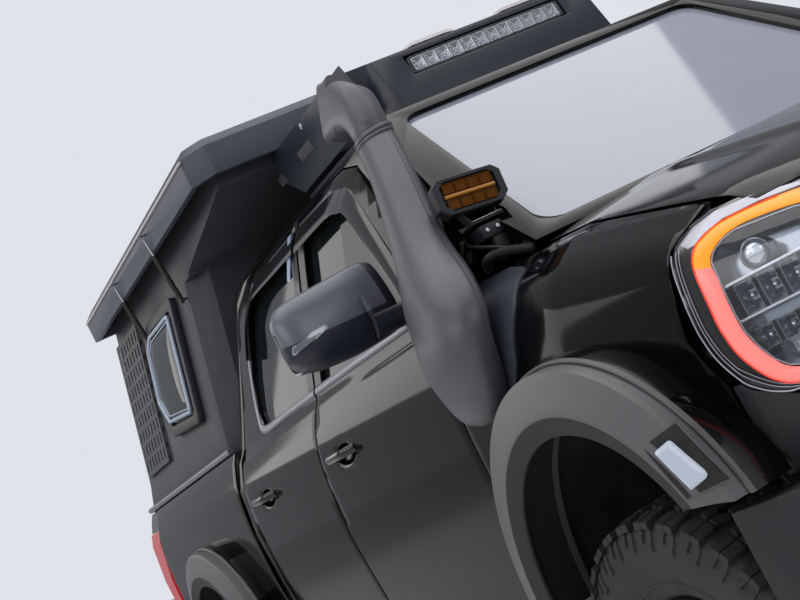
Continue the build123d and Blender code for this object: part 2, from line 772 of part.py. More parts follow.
def make_seats():
    seats = []
    for y in (-370.0, 370.0):
        cushion = block(250.0, 740.0, y - 250.0, y + 250.0, 900.0, 1060.0)
        back = prism_y(outline_xz([(300.0, 1040.0), (200.0, 1040.0), (60.0, 1640.0), (170.0, 1640.0)], 30.0),
                       y - 240.0, y + 240.0)
        head = block(50.0, 140.0, y - 130.0, y + 130.0, 1630.0, 1830.0)
        base = block(300.0, 690.0, y - 200.0, y + 200.0, floor_z + seat_gap, 912.0)
        seats.append(cushion + back + head + base)
    bench = block(-560.0, -120.0, -640.0, 640.0, floor_z + seat_gap, 1060.0)
    bench = bench + prism_y(outline_xz([(-480.0, 1040.0), (-600.0, 1040.0), (-680.0, 1640.0), (-600.0, 1640.0)], 20.0),
                            -620.0, 620.0)
    bench = bench + block(cab_rear_x + rear_wall + seat_gap, -620.0, -300.0, 300.0, 1300.0, 1360.0)
    seats.append(bench)
    return solids_of(*seats)


def make_dashboard():
    wall_x = 1290.0 - seat_gap
    panel = prism_y(outline_xz([(wall_x, 1350.0), (1120.0, 1400.0), (980.0, 1370.0), (960.0, 1250.0), (1060.0, 1040.0),
                                (wall_x, 1000.0)], 24.0), -720.0, 720.0)
    column = rod_between((1100.0, 370.0, 1260.0), (876.0, 370.0, 1349.6), 34.0)
    plane = Plane(origin=(880.0, 370.0, 1348.0), z_dir=(-0.93, 0.0, 0.37))
    ring = plane * (Cylinder(194.0, 26.0) - Cylinder(166.0, 27.0))
    spokes = plane * Box(340.0, 40.0, 16.0)
    return panel + column + ring + spokes


# Snorkel sections from the foot up: x, y, z, length along X, width along Y, corner radius
snorkel_rows = [
    (1470.0, -970.0, 1165.0, 190.0, 90.0, 24.0),
    (1480.0, -981.0, 1290.0, 290.0, 122.0, 38.0),
    (1445.0, -942.0, 1420.0, 270.0, 150.0, 45.0),
    (1345.0, -872.0, 1560.0, 176.0, 105.0, 48.0),
    (1215.0, -782.0, 1763.0, 130.0, 100.0, 46.0),
    (1105.0, -722.0, 1905.0, 114.0, 100.0, 46.0),
]


def cut_rectangle(length, width, cut):
    """A rectangle with its corners cut off."""
    half_x = length / 2
    half_y = width / 2
    points = [(half_x, -half_y + cut), (half_x, half_y - cut), (half_x - cut, half_y), (cut - half_x, half_y),
              (-half_x, half_y - cut), (-half_x, cut - half_y), (cut - half_x, -half_y), (half_x - cut, -half_y)]
    return make_face(Polyline(*points, close=True))


def make_snorkel():
    sections = []
    for x, y, z, length, width, corner in snorkel_rows:
        sections.append(Plane(origin=(x, y, z), x_dir=(1, 0, 0), z_dir=(0, 0, 1)) * cut_rectangle(length, width, corner * 0.6))
    stem = loft(sections, ruled=True)
    x, y, z, length, width, corner = snorkel_rows[-1]
    head_rows = [
        (x, y, z, 30.0, 116.0, 104.0),
        (x - 60.0, y + 10.0, z + 90.0, 60.0, 118.0, 110.0),
        (x - 170.0, y + 16.0, z + 120.0, 88.0, 150.0, 112.0),
    ]
    head_sections = []
    for hx, hy, hz, tilt, tall, wide in head_rows:
        radians = math.radians(tilt)
        plane = Plane(origin=(hx, hy, hz), x_dir=(math.cos(radians), 0.0, math.sin(radians)),
                      z_dir=(-math.sin(radians), 0.0, math.cos(radians)))
        head_sections.append(plane * cut_rectangle(tall, wide, 26.0))
    head = loft(head_sections, ruled=True)
    return stem + head - nose_solid(-seat_gap)


# Load bed section, rows of (z, half width)
bed_rows = [
    (640.0, 890.0),
    (860.0, 938.0),
    (1130.0, 944.0),
    (1300.0, 926.0),
    (1400.0, 890.0),
    (bed_rail_z, 868.0),
]


def bed_solid(inset):
    face = make_face(Polyline(*half_to_full(bed_rows), close=True))
    if inset:
        face = offset(face, amount=-inset, kind=Kind.INTERSECTION)
    return prism_x(face, bed_rear_x, bed_front_x)


def make_bed():
    """Load bed: floor, double side walls and front wall, open at the top and the tail."""
    outer = bed_solid(0.0)
    inner = block(bed_rear_x - 10.0, bed_front_x - 60.0, -780.0, 780.0, 930.0, 1500.0)
    under = block(bed_rear_x - 10.0, bed_front_x + 10.0, -860.0, 860.0, 500.0, 890.0)
    bed = outer - inner - under
    tub = block(rear_axle_x - 480.0, rear_axle_x + 480.0, -790.0, -620.0, 890.0, 1180.0)
    bed = bed + tub + mirrored(tub)
    arch = arch_cylinder(rear_axle_x, arch_radius, -1200.0, -tub_wall_y)
    bed = bed - arch - mirrored(arch)
    lamp = block(bed_rear_x - 10.0, bed_rear_x + 190.0, -1000.0, -802.0, 1000.0, 1356.0)
    bed = bed - lamp - mirrored(lamp)
    ear = block(tailgate_hinge_x - 22.0, bed_rear_x + 10.0, -802.0, -778.0, tailgate_hinge_z - 24.0, tailgate_hinge_z + 24.0)
    ear = ear - rod_y(tailgate_hinge_x, tailgate_hinge_z, -810.0, -770.0, hinge_pin_radius + seat_gap)
    return bed + ear + mirrored(ear)


def make_tail_lights():
    outline = [(bed_rear_x, 1003.0), (bed_rear_x + 120.0, 1003.0), (bed_rear_x + 187.0, 1353.0), (bed_rear_x, 1353.0)]
    lamp = bed_solid(0.0) & prism_y(make_face(Polyline(*outline, close=True)), -1000.0, -802.0 - seat_gap)
    return both_sides(lamp)


def make_tailgate():
    x_low = bed_rear_x - tailgate_thickness
    panel = block(x_low, bed_rear_x - panel_gap, -772.0, 772.0, 935.0, 1432.0)
    recess = block(x_low - 1.0, x_low + 12.0, -420.0, 420.0, 1080.0, 1290.0)
    grip = block(x_low - 1.0, x_low + 26.0, -110.0, 110.0, 1330.0, 1390.0)
    pin = rod_y(tailgate_hinge_x, tailgate_hinge_z, -800.0, -760.0, hinge_pin_radius)
    return panel - recess - grip + pin + mirrored(pin)


def make_rear_bumper():
    beam = block(tail_x, bed_rear_x - 20.0, -880.0, 880.0, 700.0, 900.0)
    step = block(tail_x - 1.0, tail_x + 40.0, -360.0, 360.0, 840.0, 920.0)
    arms = block(bed_rear_x - 40.0, bed_rear_x + 60.0, -470.0, -390.0, 700.0, 750.0 - seat_gap)
    receiver = block(tail_x + 10.0, tail_x + 160.0, -40.0, 40.0, 620.0, 705.0)
    socket = block(tail_x - 1.0, tail_x + 140.0, -25.4, 25.4, 635.0, 685.8)
    pin_hole = rod_y(tail_x + 70.0, 660.4, -60.0, 60.0, hitch_pin_radius)
    return beam - step + arms + mirrored(arms) + receiver - socket - pin_hole


def make_side_steps():
    tube = rod_between((-640.0, -880.0, 545.0), (1180.0, -880.0, 545.0), 38.0)
    for x in (-420.0, 260.0, 960.0):
        tube = tube + rod_between((x, -880.0, 545.0), (x, -480.0, 565.0), 18.0)
        tube = tube + block(x - 24.0, x + 24.0, -500.0, -rail_outer_y - seat_gap, 555.0, 680.0)
    return both_sides(tube)


def make_roof_fairing():
    """A wedge across the roof that holds the light bar in a slot."""
    side = make_face(Polyline((570.0, 2000.0), (760.0, 2000.0), (692.0, 2226.0), (650.0, 2236.0), (570.0, 2150.0),
                              close=True))
    wedge = prism_y(side, -400.0, 400.0)
    slot = block(640.0, 800.0, -296.0, 296.0, 2138.0, 2206.0)
    return wedge - slot - cab_solid(-seat_gap)


def make_light_bar():
    bar = block(640.0 + seat_gap, 700.0, -292.0, 292.0, 2142.0, 2202.0)
    for index in range(10):
        y = -292.0 + 584.0 * (index + 0.5) / 10
        bar = bar - rod_between((692.0, y, 2172.0), (702.0, y, 2172.0), 22.0)
    return bar


def make_mirror(side):
    """A folding mirror: arm from the door's sail and a deep rounded head."""
    head = block(1010.0, 1150.0, -1170.0, -940.0, 1430.0, 1650.0)
    head = chamfer(head.edges(), 22.0)
    arm = block(1090.0, 1165.0, -960.0, -780.0, 1446.0, 1486.0)
    mirror_right = head + arm - cab_solid(-seat_gap)
    return mirror_right if side < 0 else mirrored(mirror_right)


def make_pod_light():
    """An eight-sided lamp in a U bracket on the cowl corner."""
    centre = (1440.0, -690.0, 1640.0)
    points = [(-75.0, -28.0), (-58.0, -42.0), (58.0, -42.0), (75.0, -28.0), (75.0, 28.0), (58.0, 42.0), (-58.0, 42.0),
              (-75.0, 28.0)]
    shell = prism_x(make_face(Polyline(*points, close=True)), -45.0, 30.0)
    lens = block(28.0, 34.0, -62.0, 62.0, -34.0, 34.0)
    lamp = Pos(*centre) * (shell + lens)
    leg = block(1425.0, 1455.0, -790.0, -778.0, 1450.0, 1640.0)
    arm = block(1425.0, 1455.0, -790.0, -750.0, 1634.0, 1646.0)
    foot = block(1400.0, 1480.0, -800.0, -760.0, 1400.0, 1456.0)
    return lamp + leg + arm + foot - nose_solid(-seat_gap)


# Gas struts: name, the lower ball's x, z and the upper ball's x, z
strut_rows = [
    ("front", -995.0, 2078.0, -940.0, 2362.0),
    ("rear", -1690.0, 2091.0, -1627.0, 2364.0),
]
strut_low_y = 725.0
strut_high_y = 770.0
strut_rod_radius = 5.0
strut_clearance = 1.0
strut_tube_share = 0.70
ball_stud_radius = 5.0

camper_top_z = lid_top_z - lid_wall - seat_gap
camper_lean = 0.221
camper_base_y = 830.0
camper_datum_z = 1500.0
camper_front_x = -885.0
camper_corner = 85.0
camper_knee_z = 2150.0
hatch_hinge_x = -2390.6
hatch_hinge_z = 2137.0
hatch_pin_radius = 4.0


def camper_wall_y(z):
    return camper_base_y - camper_lean * (z - camper_datum_z)


camper_rows = [(camper_base_z, camper_wall_y(camper_base_z)), (camper_top_z, camper_wall_y(camper_top_z))]
camper_side = [
    (-2535.0, camper_base_z),
    (camper_front_x, camper_base_z),
    (camper_front_x, camper_knee_z),
    (-240.0, lid_skirt_z - 30.0),
    (-240.0, camper_top_z),
    (-2396.0, camper_top_z),
    (-2396.0, 2230.0),
    (-2470.0, 1560.0),
]
camper_window_outline = [
    (-1180.0, 2040.0),
    (-1210.0, 2112.0),
    (-1600.0, 2118.0),
    (-1715.0, 2035.0),
    (-1765.0, 1812.0),
    (-1640.0, 1677.0),
    (-1250.0, 1648.0),
    (-1200.0, 1680.0),
]


def camper_layer(shallow, deep):
    """The band of the camper's walls between two depths."""
    face = make_face(Polyline(*half_to_full(camper_rows), close=True))
    outer = offset(face, amount=-shallow, kind=Kind.INTERSECTION) if shallow else face
    inner = offset(face, amount=-deep, kind=Kind.INTERSECTION)
    return prism_x(outer, -3000.0, 0.0) - prism_x(inner, -3001.0, 1.0)


def camper_corner_cut(inset):
    """Outside of the slanted front corner post, taken in by an inset, on both sides."""
    reach = 300.0
    x = camper_front_x - camper_corner - inset * math.sqrt(2.0)
    y = -camper_wall_y(camper_base_z)
    rows = [(x, y), (x + reach, y + reach), (x + reach, y - reach), (x, y - reach)]
    face = Plane.XY.offset(camper_base_z) * make_face(Polyline(*rows, close=True))
    cut = extrude(face, amount=camper_knee_z - camper_base_z, dir=(0.0, camper_lean, 1.0))
    return cut + mirrored(cut)


def make_camper_body():
    section = make_face(Polyline(*half_to_full(camper_rows), close=True))
    side = make_face(Polyline(*camper_side, close=True))
    outer = prism_x(section, -3000.0, 0.0) & prism_y(side, -1000.0, 1000.0)
    outer = outer - camper_corner_cut(0.0)
    inner_section = offset(section, amount=-camper_wall, kind=Kind.INTERSECTION)
    inner_side = offset(side, amount=-camper_wall, kind=Kind.INTERSECTION)
    space = prism_x(inner_section, -3000.0, 0.0) & prism_y(inner_side, -1000.0, 1000.0)
    space = space - camper_corner_cut(camper_wall)
    top = block(-2350.0, -290.0, -580.0, 580.0, lid_skirt_z, camper_top_z + 50.0)
    bottom = block(-2440.0, camper_front_x - 100.0, -740.0, 740.0, camper_base_z - 10.0, camper_base_z + 60.0)
    window = prism_y(make_face(Polyline(*camper_window_outline, close=True)), -1000.0, 1000.0)
    door = block(-2600.0, -2340.0, -500.0, 500.0, 1570.0, 2165.0)
    door = door + rod_y(hatch_hinge_x, hatch_hinge_z, -514.0, 514.0, hatch_pin_radius + seat_gap)
    body = outer - space - top - bottom - window - door
    for name, low_x, low_z, high_x, high_z in strut_rows:
        stud = rod_y(low_x, low_z, -strut_low_y - 9.0, -camper_wall_y(low_z) + 6.0, ball_stud_radius)
        body = body + stud + mirrored(stud)
    return body


def make_camper_windows():
    face = offset(make_face(Polyline(*camper_window_outline, close=True)), amount=-seat_gap, kind=Kind.INTERSECTION)
    pane = camper_layer(8.0, 16.0) & prism_y(face, -1000.0, -300.0)
    return both_sides(pane)


# Slotted panels behind the camper's windows
slot_columns = 7
slot_rows = 9
slot_pitch = 66.0
slot_row_pitch = 68.0
slot_panel_x = -2148.0
slot_panel_z = 1905.0
slot_panel_standoff = 12.0
slot_panel_thickness = 4.0


def make_camper_panels():
    """Slotted plates on the side walls, held off the wall by a boss at each corner."""
    lean = math.atan(camper_lean)
    width = slot_columns * slot_pitch + 24.0
    height = slot_rows * slot_row_pitch + 30.0
    wall = Plane(origin=(slot_panel_x, -camper_wall_y(slot_panel_z), slot_panel_z), x_dir=(1, 0, 0),
                 z_dir=(0.0, -math.cos(lean), math.sin(lean)))
    slots = [spot * Rectangle(22.0, 50.0) for spot in GridLocations(slot_pitch, slot_row_pitch, slot_columns, slot_rows)]
    sheet = Rectangle(width, height) - slots
    panel = extrude(wall.offset(slot_panel_standoff) * sheet, amount=slot_panel_thickness)
    for spot in GridLocations(width - 24.0, height - 24.0, 2, 2):
        panel = panel + extrude(wall.offset(seat_gap) * (spot * Rectangle(16.0, 16.0)), amount=slot_panel_standoff)
    return both_sides(panel)


def make_camper_lid():
    half = lid_half_width
    points = [
        (lid_rear_x, -half),
        (lid_front_x - lid_corner, -half),
        (lid_front_x, -half + lid_corner),
        (lid_front_x, half - lid_corner),
        (lid_front_x - lid_corner, half),
        (lid_rear_x, half),
    ]
    face = make_face(Polyline(*points, close=True))
    shell = extrude(Plane.XY.offset(lid_skirt_z) * face, amount=lid_top_z - lid_skirt_z)
    shell = chamfer(shell.faces().sort_by(Axis.Z)[-1].edges(), lid_chamfer)
    inside = offset(face, amount=-lid_wall, kind=Kind.INTERSECTION)
    hollow = extrude(Plane.XY.offset(lid_skirt_z - 1.0) * inside, amount=lid_top_z - lid_skirt_z - lid_wall + 1.0)
    lid = shell - hollow
    for name, low_x, low_z, high_x, high_z in strut_rows:
        stud = rod_y(high_x, high_z, -strut_high_y - 9.0, -half + 2.0, ball_stud_radius)
        lid = lid + stud + mirrored(stud)
    return lid


def make_camper_nose():
    """Side plates and a cross panel that fair the camper's front down to the roof."""
    side = make_face(Polyline((-239.7, 2289.0), (560.0, 2289.0), (610.0, 2180.0), (590.0, 2100.0), (-100.0, 2100.0),
                              (-239.7, 2200.0), close=True))
    plate = prism_y(side, -436.0, -430.0)
    cross = block(480.0, 500.0, -431.0, 431.0, 2120.0, 2280.0)
    back = block(-239.7, -220.0, -431.0, 431.0, 2210.0, 2285.0)
    return plate + mirrored(plate) + cross + back


# Rear door side view between sill and head, rows of (x, z)
camper_door_profile = [(-2468.0, 1578.0), (-2404.6, 2152.0), (-2376.6, 2152.0), (-2440.0, 1578.0)]


def make_camper_door():
    """The rear hatch, hung on two short pins at its top."""
    wall = make_face(Polyline(*camper_door_profile, close=True))
    hatch = prism_y(wall, -500.0 + panel_gap, 500.0 - panel_gap)
    pin = rod_y(hatch_hinge_x, hatch_hinge_z, -512.0, -480.0, hatch_pin_radius)
    return hatch + pin + mirrored(pin)


def make_strut(low_x, low_z, high_x, high_z):
    """A gas strut: a tube turning on its lower ball, and a rod that slides in its bore."""
    low = Vector(low_x, -strut_low_y, low_z)
    span = Vector(high_x, -strut_high_y, high_z) - low
    length = span.length

    def along(distance):
        return tuple(low + span.normalized() * distance)

    tube = rod_between(along(10.0), along(length * strut_tube_share), 11.0)
    tube = tube - rod_between(along(16.0), along(length), strut_rod_radius + strut_clearance)
    eye = rod_y(low_x, low_z, -strut_low_y - 7.0, -strut_low_y + 7.0, 13.0)
    eye = eye - rod_y(low_x, low_z, -strut_low_y - 8.0, -strut_low_y + 8.0, ball_stud_radius + strut_clearance)
    rod = rod_between(along(18.0), along(length - 16.0), strut_rod_radius)
    return tube + eye, rod


# Everything is built and written here, one node a file
save("chassis_frame", make_chassis())
save("engine_block", make_engine())
save("driveline", make_driveline())
save("front_suspension", make_front_suspension())
save("rear_axle", make_rear_axle())
save("cab_body", make_cab_body())
save("cab_glass", make_cab_glass())
save("bonnet", bonnet)
save("fenders", make_fenders())
save("headlights", make_headlights())
save("grille", make_grille())
save("front_bumper", make_front_bumper())
save("flares", make_flares())
save("arch_liners", make_liners())
save("dashboard", make_dashboard())
save("seats", make_seats())
save("snorkel", make_snorkel())
save("load_bed", make_bed())
save("tail_lights", make_tail_lights())
save("tailgate", make_tailgate())
save("rear_bumper", make_rear_bumper())
save("side_steps", make_side_steps())
save("roof_fairing", make_roof_fairing())
save("light_bar", make_light_bar())
save("pod_light", make_pod_light())
save("camper_body", make_camper_body())
save("camper_windows", make_camper_windows())
save("camper_panels", make_camper_panels())
save("camper_lid", make_camper_lid())
save("camper_nose", make_camper_nose())
save("camper_door", make_camper_door())
for name, low_x, low_z, high_x, high_z in strut_rows:
    cylinder, rod = make_strut(low_x, low_z, high_x, high_z)
    save("strut_tube_" + name + "_right", cylinder)
    save("strut_rod_" + name + "_right", rod)
    save("strut_tube_" + name + "_left", mirrored(cylinder))
    save("strut_rod_" + name + "_left", mirrored(rod))

for side, tag in ((-1, "right"), (1, "left")):
    save("door_front_" + tag, make_door(front_door_outline, front_window_outline, side, 407.0))
    save("door_rear_" + tag, make_door(rear_door_outline, rear_window_outline, side, -480.0))
    save("glass_front_" + tag, make_door_glass(front_window_outline, side))
    save("glass_rear_" + tag, make_door_glass(rear_window_outline, side))
    save("mirror_" + tag, make_mirror(side))
    save("knuckle_" + tag, place_wheel(mirrored(make_knuckle()), front_axle_x, side))

tyre = make_tyre(1)
rim = make_rim(1)
for tag, x, side in (("front_right", front_axle_x, -1), ("front_left", front_axle_x, 1),
                     ("rear_right", rear_axle_x, -1), ("rear_left", rear_axle_x, 1)):
    save("tyre_" + tag, place_wheel(tyre, x, side))
    save("rim_" + tag, place_wheel(rim, x, side))
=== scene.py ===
import bpy
import bmesh
import json
import math
from mathutils import Matrix, Vector
from mathutils.bvhtree import BVHTree


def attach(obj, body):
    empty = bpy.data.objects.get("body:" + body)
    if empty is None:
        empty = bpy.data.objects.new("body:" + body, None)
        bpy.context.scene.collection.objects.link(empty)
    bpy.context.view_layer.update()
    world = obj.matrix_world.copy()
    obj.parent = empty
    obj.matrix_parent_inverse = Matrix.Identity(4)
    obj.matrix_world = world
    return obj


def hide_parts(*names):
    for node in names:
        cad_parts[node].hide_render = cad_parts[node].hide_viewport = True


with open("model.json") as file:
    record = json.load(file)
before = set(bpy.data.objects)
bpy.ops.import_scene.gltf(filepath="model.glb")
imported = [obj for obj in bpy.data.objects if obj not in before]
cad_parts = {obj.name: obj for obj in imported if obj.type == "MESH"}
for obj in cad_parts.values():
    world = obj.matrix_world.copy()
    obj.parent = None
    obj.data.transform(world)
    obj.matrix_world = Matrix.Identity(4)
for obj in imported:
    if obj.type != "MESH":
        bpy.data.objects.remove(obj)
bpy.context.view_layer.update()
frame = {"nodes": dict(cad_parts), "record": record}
nodeBody = {node: body for body, members in frame["record"]["behaviour"]["bodies"].items() for node in members}
nodeSlot = {row["node"]: row["material_slot"] for row in frame["record"]["subparts"]}
print("frame loaded:", len(nodeBody), "nodes")

# Camera, floor and light
cameraSettings = {
    "place": (4.500, -2.448, 1.170),
    "yaw": 24.95, "pitch": 5.12, "roll": -27.68,  # degrees
    "lens": 66.40, "sensor": 36.0,
}
lightSettings = {
    "floorTone": (0.80, 0.80, 0.79, 1),
    "skyTone": (0.80, 0.83, 0.88, 1), "skyLevel": 0.42, "backdropLevel": 0.93,
    # name, place, aimed at, width, height, watts, colour
    "boxes": [
        ("overheadBox", (0.5, 0.0, 8.0), (0.4, 0.0, 1.0), 11.0, 8.0, 380, (1.0, 0.99, 0.98)),
        ("frontBox", (9.0, 3.0, 5.0), (1.4, 0.0, 1.1), 6.0, 4.0, 90, (0.93, 0.96, 1.0)),
        ("sideBox", (2.0, -9.0, 5.5), (0.6, -0.6, 1.1), 9.0, 3.5, 150, (1.0, 0.98, 0.95)),
        ("rearBox", (-8.0, -5.0, 5.0), (-1.0, 0.0, 1.4), 6.0, 4.0, 90, (1.0, 0.99, 0.97)),
    ],
}


def makeCamera(settings):
    yaw, pitch, roll = (math.radians(settings[key]) for key in ("yaw", "pitch", "roll"))
    forward = Vector((-math.cos(yaw) * math.cos(pitch), math.sin(yaw) * math.cos(pitch), math.sin(pitch)))
    level = forward.cross(Vector((0, 0, 1))).normalized()
    top = level.cross(forward)
    right = level * math.cos(roll) + top * math.sin(roll)
    up = top * math.cos(roll) - level * math.sin(roll)
    data = bpy.data.cameras.new("photoCamera")
    data.lens, data.sensor_width = settings["lens"], settings["sensor"]
    data.clip_start, data.clip_end = 0.05, 200.0
    camera = bpy.data.objects.new("photoCamera", data)
    bpy.context.collection.objects.link(camera)
    axes = Matrix((right, up, -forward)).transposed().to_4x4()
    camera.matrix_world = Matrix.Translation(settings["place"]) @ axes
    bpy.context.scene.camera = camera


def makeStudio(settings):
    world = bpy.data.worlds.new("studioWorld")
    bpy.context.scene.world = world
    world.use_nodes = True
    nodes, links = world.node_tree.nodes, world.node_tree.links
    background = nodes["Background"]
    background.inputs["Color"].default_value = settings["skyTone"]
    path = nodes.new("ShaderNodeLightPath")
    seen = nodes.new("ShaderNodeMath")
    seen.operation = "MAXIMUM"
    links.new(path.outputs["Is Camera Ray"], seen.inputs[0])
    links.new(path.outputs["Is Transmission Ray"], seen.inputs[1])
    level = nodes.new("ShaderNodeMapRange")
    level.inputs["To Min"].default_value = settings["skyLevel"]
    level.inputs["To Max"].default_value = settings["backdropLevel"]
    links.new(seen.outputs["Value"], level.inputs["Value"])
    links.new(level.outputs["Result"], background.inputs["Strength"])
    for name, place, target, width, height, power, tone in settings["boxes"]:
        lamp = bpy.data.lights.new(name, "AREA")
        lamp.shape, lamp.size, lamp.size_y, lamp.energy, lamp.color = "RECTANGLE", width, height, power, tone
        holder = bpy.data.objects.new(name, lamp)
        bpy.context.collection.objects.link(holder)
        away = Vector(place) - Vector(target)
        holder.location = place
        holder.rotation_euler = away.to_track_quat("Z", "Y").to_euler()
    floorMesh = bpy.data.meshes.new("studioFloor")
    floorMesh.from_pydata([(-60, -60, 0), (60, -60, 0), (60, 60, 0), (-60, 60, 0)], [], [(0, 1, 2, 3)])
    floor = bpy.data.objects.new("studioFloor", floorMesh)
    bpy.context.collection.objects.link(floor)
    floorMesh.materials.append(plainFinish("floorFinish", settings["floorTone"], 0.8))


# Shared shader groups: each puts out colours and values only
def newGroup(name, inputs, outputs):
    group = bpy.data.node_groups.new(name, "ShaderNodeTree")
    for socketName, socketType, value in inputs:
        socket = group.interface.new_socket(socketName, in_out="INPUT", socket_type=socketType)
        socket.default_value = value
    for socketName, socketType in outputs:
        group.interface.new_socket(socketName, in_out="OUTPUT", socket_type=socketType)
    start = group.nodes.new("NodeGroupInput")
    end = group.nodes.new("NodeGroupOutput")
    return group, start, end


# Moulded grain: two noises on Object coordinates
def makeGrainGroup():
    group, start, end = newGroup("mouldGrain", [("Scale", "NodeSocketFloat", 400.0)],
                                 [("Height", "NodeSocketFloat"), ("Patches", "NodeSocketFloat")])
    nodes, links = group.nodes, group.links
    place = nodes.new("ShaderNodeTexCoord")
    fine = nodes.new("ShaderNodeTexNoise")
    fine.inputs["Detail"].default_value = 3.0
    links.new(place.outputs["Object"], fine.inputs["Vector"])
    links.new(start.outputs["Scale"], fine.inputs["Scale"])
    wide = nodes.new("ShaderNodeTexNoise")
    wide.inputs["Scale"].default_value = 3.5
    wide.inputs["Detail"].default_value = 4.0
    links.new(place.outputs["Object"], wide.inputs["Vector"])
    links.new(fine.outputs["Fac"], end.inputs["Height"])
    links.new(wide.outputs["Fac"], end.inputs["Patches"])
    return group


# Road dust in broken patches, thicker low down
def makeDustGroup():
    group, start, end = newGroup(
        "roadDust",
        [("Color", "NodeSocketColor", (0.1, 0.1, 0.1, 1)), ("Dust", "NodeSocketColor", (0.32, 0.29, 0.25, 1)),
         ("Amount", "NodeSocketFloat", 0.3), ("Low Z", "NodeSocketFloat", 0.3), ("High Z", "NodeSocketFloat", 1.1)],
        [("Color", "NodeSocketColor"), ("Mask", "NodeSocketFloat")])
    nodes, links = group.nodes, group.links
    place = nodes.new("ShaderNodeTexCoord")
    split = nodes.new("ShaderNodeSeparateXYZ")
    links.new(place.outputs["Object"], split.inputs["Vector"])
    fade = nodes.new("ShaderNodeMapRange")
    fade.inputs["To Min"].default_value, fade.inputs["To Max"].default_value = 1.0, 0.12
    links.new(split.outputs["Z"], fade.inputs["Value"])
    links.new(start.outputs["Low Z"], fade.inputs["From Min"])
    links.new(start.outputs["High Z"], fade.inputs["From Max"])
    cloud = nodes.new("ShaderNodeTexNoise")
    cloud.inputs["Scale"].default_value = 9.0
    cloud.inputs["Detail"].default_value = 8.0
    cloud.inputs["Roughness"].default_value = 0.62
    links.new(place.outputs["Object"], cloud.inputs["Vector"])
    spread = nodes.new("ShaderNodeMapRange")
    spread.inputs["From Min"].default_value, spread.inputs["From Max"].default_value = 0.38, 0.72
    links.new(cloud.outputs["Fac"], spread.inputs["Value"])
    both = nodes.new("ShaderNodeMath")
    both.operation = "MULTIPLY"
    links.new(fade.outputs["Result"], both.inputs[0])
    links.new(spread.outputs["Result"], both.inputs[1])
    scaled = nodes.new("ShaderNodeMath")
    scaled.operation = "MULTIPLY"
    links.new(both.outputs["Value"], scaled.inputs[0])
    links.new(start.outputs["Amount"], scaled.inputs[1])
    mix = nodes.new("ShaderNodeMix")
    mix.data_type = "RGBA"
    links.new(scaled.outputs["Value"], mix.inputs["Factor"])
    links.new(start.outputs["Color"], mix.inputs["A"])
    links.new(start.outputs["Dust"], mix.inputs["B"])
    links.new(mix.outputs["Result"], end.inputs["Color"])
    links.new(scaled.outputs["Value"], end.inputs["Mask"])
    return group


grainGroup = makeGrainGroup()
dustGroup = makeDustGroup()


def plainFinish(name, tone, rough):
    finish = bpy.data.materials.new(name)
    finish.use_nodes = True
    shader = finish.node_tree.nodes["Principled BSDF"]
    shader.inputs["Base Color"].default_value = tone
    shader.inputs["Roughness"].default_value = rough
    return finish


# One finish: dusted colour, patchy roughness and moulded grain
def makeFinish(name, tone, rough, metallic=0.0, grain=400.0, depth=0.0, dust=0.0, patch=0.06, coat=0.0, coatRough=0.04,
               roughSpread=0.08, transmission=0.0, glow=None, alpha=1.0, ior=1.5, dustTop=1.1):
    finish = bpy.data.materials.new(name)
    finish.use_nodes = True
    nodes, links = finish.node_tree.nodes, finish.node_tree.links
    shader = nodes["Principled BSDF"]
    shader.inputs["Metallic"].default_value = metallic
    shader.inputs["IOR"].default_value = ior
    shader.inputs["Coat Weight"].default_value = coat
    shader.inputs["Coat Roughness"].default_value = coatRough
    shader.inputs["Transmission Weight"].default_value = transmission
    shader.inputs["Alpha"].default_value = alpha
    grainNode = nodes.new("ShaderNodeGroup")
    grainNode.node_tree = grainGroup
    grainNode.inputs["Scale"].default_value = grain
    shade = nodes.new("ShaderNodeMix")
    shade.data_type = "RGBA"
    shade.inputs["A"].default_value = (*[value * (1 - patch * 2) for value in tone[:3]], 1)
    shade.inputs["B"].default_value = (*[min(value * (1 + patch * 2) + patch * 0.01, 1) for value in tone[:3]], 1)
    links.new(grainNode.outputs["Patches"], shade.inputs["Factor"])
    dustNode = nodes.new("ShaderNodeGroup")
    dustNode.node_tree = dustGroup
    dustNode.inputs["Amount"].default_value = dust
    dustNode.inputs["High Z"].default_value = dustTop
    links.new(shade.outputs["Result"], dustNode.inputs["Color"])
    links.new(dustNode.outputs["Color"], shader.inputs["Base Color"])
    spread = nodes.new("ShaderNodeMapRange")
    spread.inputs["To Min"].default_value = max(rough - roughSpread, 0.02)
    spread.inputs["To Max"].default_value = min(rough + roughSpread, 1.0)
    links.new(grainNode.outputs["Patches"], spread.inputs["Value"])
    dull = nodes.new("ShaderNodeMath")
    dull.use_clamp = True
    links.new(spread.outputs["Result"], dull.inputs[0])
    lift = nodes.new("ShaderNodeMath")
    lift.operation = "MULTIPLY"
    lift.inputs[1].default_value = 0.9
    links.new(dustNode.outputs["Mask"], lift.inputs[0])
    links.new(lift.outputs["Value"], dull.inputs[1])
    links.new(dull.outputs["Value"], shader.inputs["Roughness"])
    if depth:
        bump = nodes.new("ShaderNodeBump")
        bump.inputs["Strength"].default_value = 0.6
        bump.inputs["Distance"].default_value = depth
        links.new(grainNode.outputs["Height"], bump.inputs["Height"])
        links.new(bump.outputs["Normal"], shader.inputs["Normal"])
    if glow:
        colour, level = glow
        shader.inputs["Emission Color"].default_value = (*colour, 1)
        shader.inputs["Emission Strength"].default_value = level
    return finish


